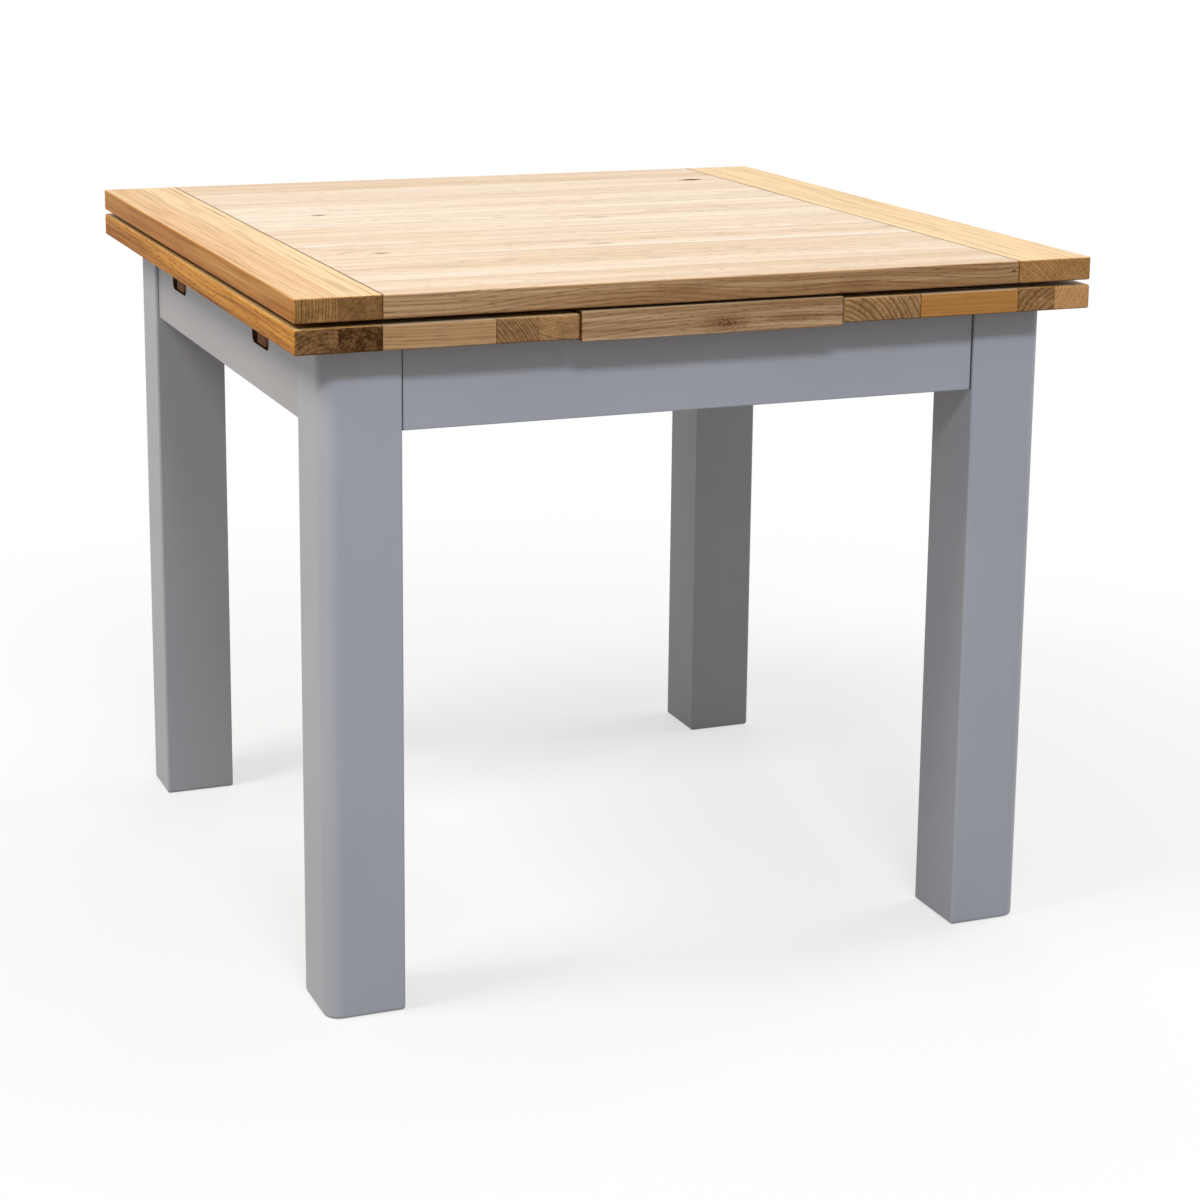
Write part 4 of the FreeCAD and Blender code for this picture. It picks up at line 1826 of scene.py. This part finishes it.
    def _bolt_spots(self, along: float) -> list[Spot]:
        """Find a place along each of the four bolts.

        Args:
            along: Distance from the face of the leg inwards, in millimetres.

        Returns:
            The four places.
        """
        x, y, z = self.bolt_point
        step = along / math.sqrt(2)
        return [
            Spot((sx * (x - step), sy * (y - step), z), (-sx, -sy, 0)) for sx in (-1, 1) for sy in (-1, 1)
        ]


@dataclass(frozen=True)
class Lamp:
    """A soft lamp: name, place, width and height in metres, power in watts and colour."""

    name: str
    place: Triple
    size: Pair
    power: float
    colour: str


@dataclass
class Studio:
    """Pale floor, white surround and soft lamps, in metres."""

    lamps: tuple[Lamp, ...] = (
        Lamp("key", (-0.55, -3.3, 3.5), (1.1, 0.45), 74.0, "#ebf2ff"),
        Lamp("left_fill", (-2.9, -0.45, 3.9), (1.4, 1.4), 112.0, "#fff5e9"),
        Lamp("right_fill", (3.3, 0.4, 3.0), (1.6, 1.6), 54.0, "#fffaf2"),
        Lamp("back_fill", (1.0, 2.6, 4.2), (1.6, 1.6), 26.0, "#ffffff"),
    )
    aim: Triple = (0.0, 0.0, 0.55)
    floor_size: float = 60.0
    floor_colour: str = "#f2f2f2"
    # The floor throws less light back up than it seems to, as in a large room
    bounce_colour: str = "#97928c"
    fade_span: Pair = (0.6, 1.9)
    fade_start: float = 0.62
    sky_strength: float = 0.36

    def build(self) -> None:
        """Make the floor, the world and the lamps."""
        self._floor()
        self._world()
        for lamp in self.lamps:
            self._hang(lamp)

    def _hang(self, lamp: Lamp) -> None:
        """Hang one lamp and aim it at the table.

        Args:
            lamp: The lamp.
        """
        data = bpy.data.lights.new(lamp.name, "AREA")
        data.energy = lamp.power
        data.shape = "RECTANGLE"
        data.size, data.size_y = lamp.size
        data.color = linear(lamp.colour)[:3]
        hung = bpy.data.objects.new(lamp.name, data)
        bpy.context.scene.collection.objects.link(hung)
        hung.location = lamp.place
        hung.visible_camera = False
        ahead = Vector(self.aim) - Vector(lamp.place)
        hung.rotation_euler = ahead.to_track_quat("-Z", "Y").to_euler()

    @staticmethod
    def _shown_rays(tree: Tree) -> Node:
        """Pick the rays that show the surround: straight ones, mirrored ones and those through glass.

        Args:
            tree: Node tree of the world or the floor.

        Returns:
            1 for such a ray, and 0 for light.
        """
        rays = add_node(tree, Kind.LIGHT_PATH, {}).outputs
        seen: Feed = rays["Is Camera Ray"]
        for name in ("Is Glossy Ray", "Is Transmission Ray"):
            seen = add_node(tree, Kind.MATH, {0: seen, 1: rays[name]}, operation="MAXIMUM")
        return seen

    def _world(self) -> None:
        """White to the camera and in reflections, softer as light."""
        world = bpy.data.worlds.new("studio")
        bpy.context.scene.world = world
        world.use_nodes = True
        tree = world.node_tree
        tree.nodes.clear()
        seen = self._shown_rays(tree)
        light = add_node(tree, Kind.BACKGROUND, {"Color": WHITE, "Strength": self.sky_strength})
        white = add_node(tree, Kind.BACKGROUND, {"Color": WHITE, "Strength": 1.0})
        either = add_node(tree, Kind.MIX_SHADER, {0: seen, 1: light, 2: white})
        add_node(tree, Kind.WORLD_OUTPUT, {"Surface": either})

    def _floor(self) -> None:
        """A pale floor that keeps a faint shadow and fades to white."""
        bpy.ops.object.select_all(action="DESELECT")
        bpy.ops.mesh.primitive_plane_add(size=self.floor_size)
        floor = bpy.context.active_object
        floor.name = "studio_floor"
        material = new_material("pale_floor")
        tree = material.node_tree
        place = add_node(tree, Kind.COORDINATES, {}).outputs["Object"]
        away = add_node(tree, Kind.VECTOR, {0: place}, operation="LENGTH").outputs["Value"]
        near, far = self.fade_span
        feeds = {"Value": away, "From Min": near, "From Max": far, "To Min": self.fade_start, "To Max": 1.0}
        faded = add_node(tree, Kind.RANGE, feeds, interpolation_type="SMOOTHSTEP")
        seen = self._shown_rays(tree)
        pale = add_node(tree, Kind.DIFFUSE, {"Color": linear(self.floor_colour)})
        white = add_node(tree, Kind.EMISSION, {"Color": WHITE, "Strength": 1.0})
        shown = add_node(tree, Kind.MIX_SHADER, {0: faded, 1: pale, 2: white})
        bounce = add_node(tree, Kind.DIFFUSE, {"Color": linear(self.bounce_colour)})
        either = add_node(tree, Kind.MIX_SHADER, {0: seen, 1: bounce, 2: shown})
        add_node(tree, Kind.OUTPUT, {"Surface": either})
        floor.data.materials.append(material)


@dataclass
class PhotoCamera:
    """Camera at the photograph's viewing angle, fitted to a square picture of 1200 pixels."""

    place: Triple = (-1.1333, -2.9463, 1.2040)
    yaw: float = 21.943
    pitch: float = 12.236
    roll: float = 0.583
    focal_pixels: float = 2682.2
    picture: float = 1200.0
    # Less than the photograph's own shift, because other views keep it
    shift_up: float = -0.14
    sensor: float = 36.0

    def build(self) -> None:
        """Make the camera and use it."""
        data = bpy.data.cameras.new("photo_camera")
        data.sensor_width = self.sensor
        data.lens = self.focal_pixels / self.picture * self.sensor
        data.shift_y = self.shift_up
        camera = bpy.data.objects.new("photo_camera", data)
        bpy.context.scene.collection.objects.link(camera)
        yaw, pitch, roll = (math.radians(a) for a in (self.yaw, self.pitch, self.roll))
        ahead = Vector((math.sin(yaw) * math.cos(pitch), math.cos(yaw) * math.cos(pitch), -math.sin(pitch)))
        level = Vector((math.cos(yaw), -math.sin(yaw), 0.0))
        upward = level.cross(ahead)
        right = level * math.cos(roll) + upward * math.sin(roll)
        top = upward * math.cos(roll) - level * math.sin(roll)
        turn = Matrix((right, top, -ahead)).transposed()
        camera.matrix_world = Matrix.Translation(self.place) @ turn.to_4x4()
        bpy.context.scene.camera = camera


def main() -> None:
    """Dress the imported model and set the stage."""
    logging.basicConfig(level=logging.INFO)
    # Blender's start file brings a cube, a lamp and a camera
    for old in list(bpy.data.objects):
        bpy.data.objects.remove(old)
    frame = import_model()
    nodes = frame["nodes"]
    for assembly in (
        LooseTop(),
        DrawLeaf(Side.LEFT),
        DrawLeaf(Side.RIGHT),
        CentreBoard(),
        PaintedFrame(),
        RunningGear(),
        Fasteners(),
    ):
        assembly.dress(nodes)
    Studio().build()
    PhotoCamera().build()
    bpy.context.scene.view_settings.view_transform = "Standard"


if __name__ == "__main__":
    main()
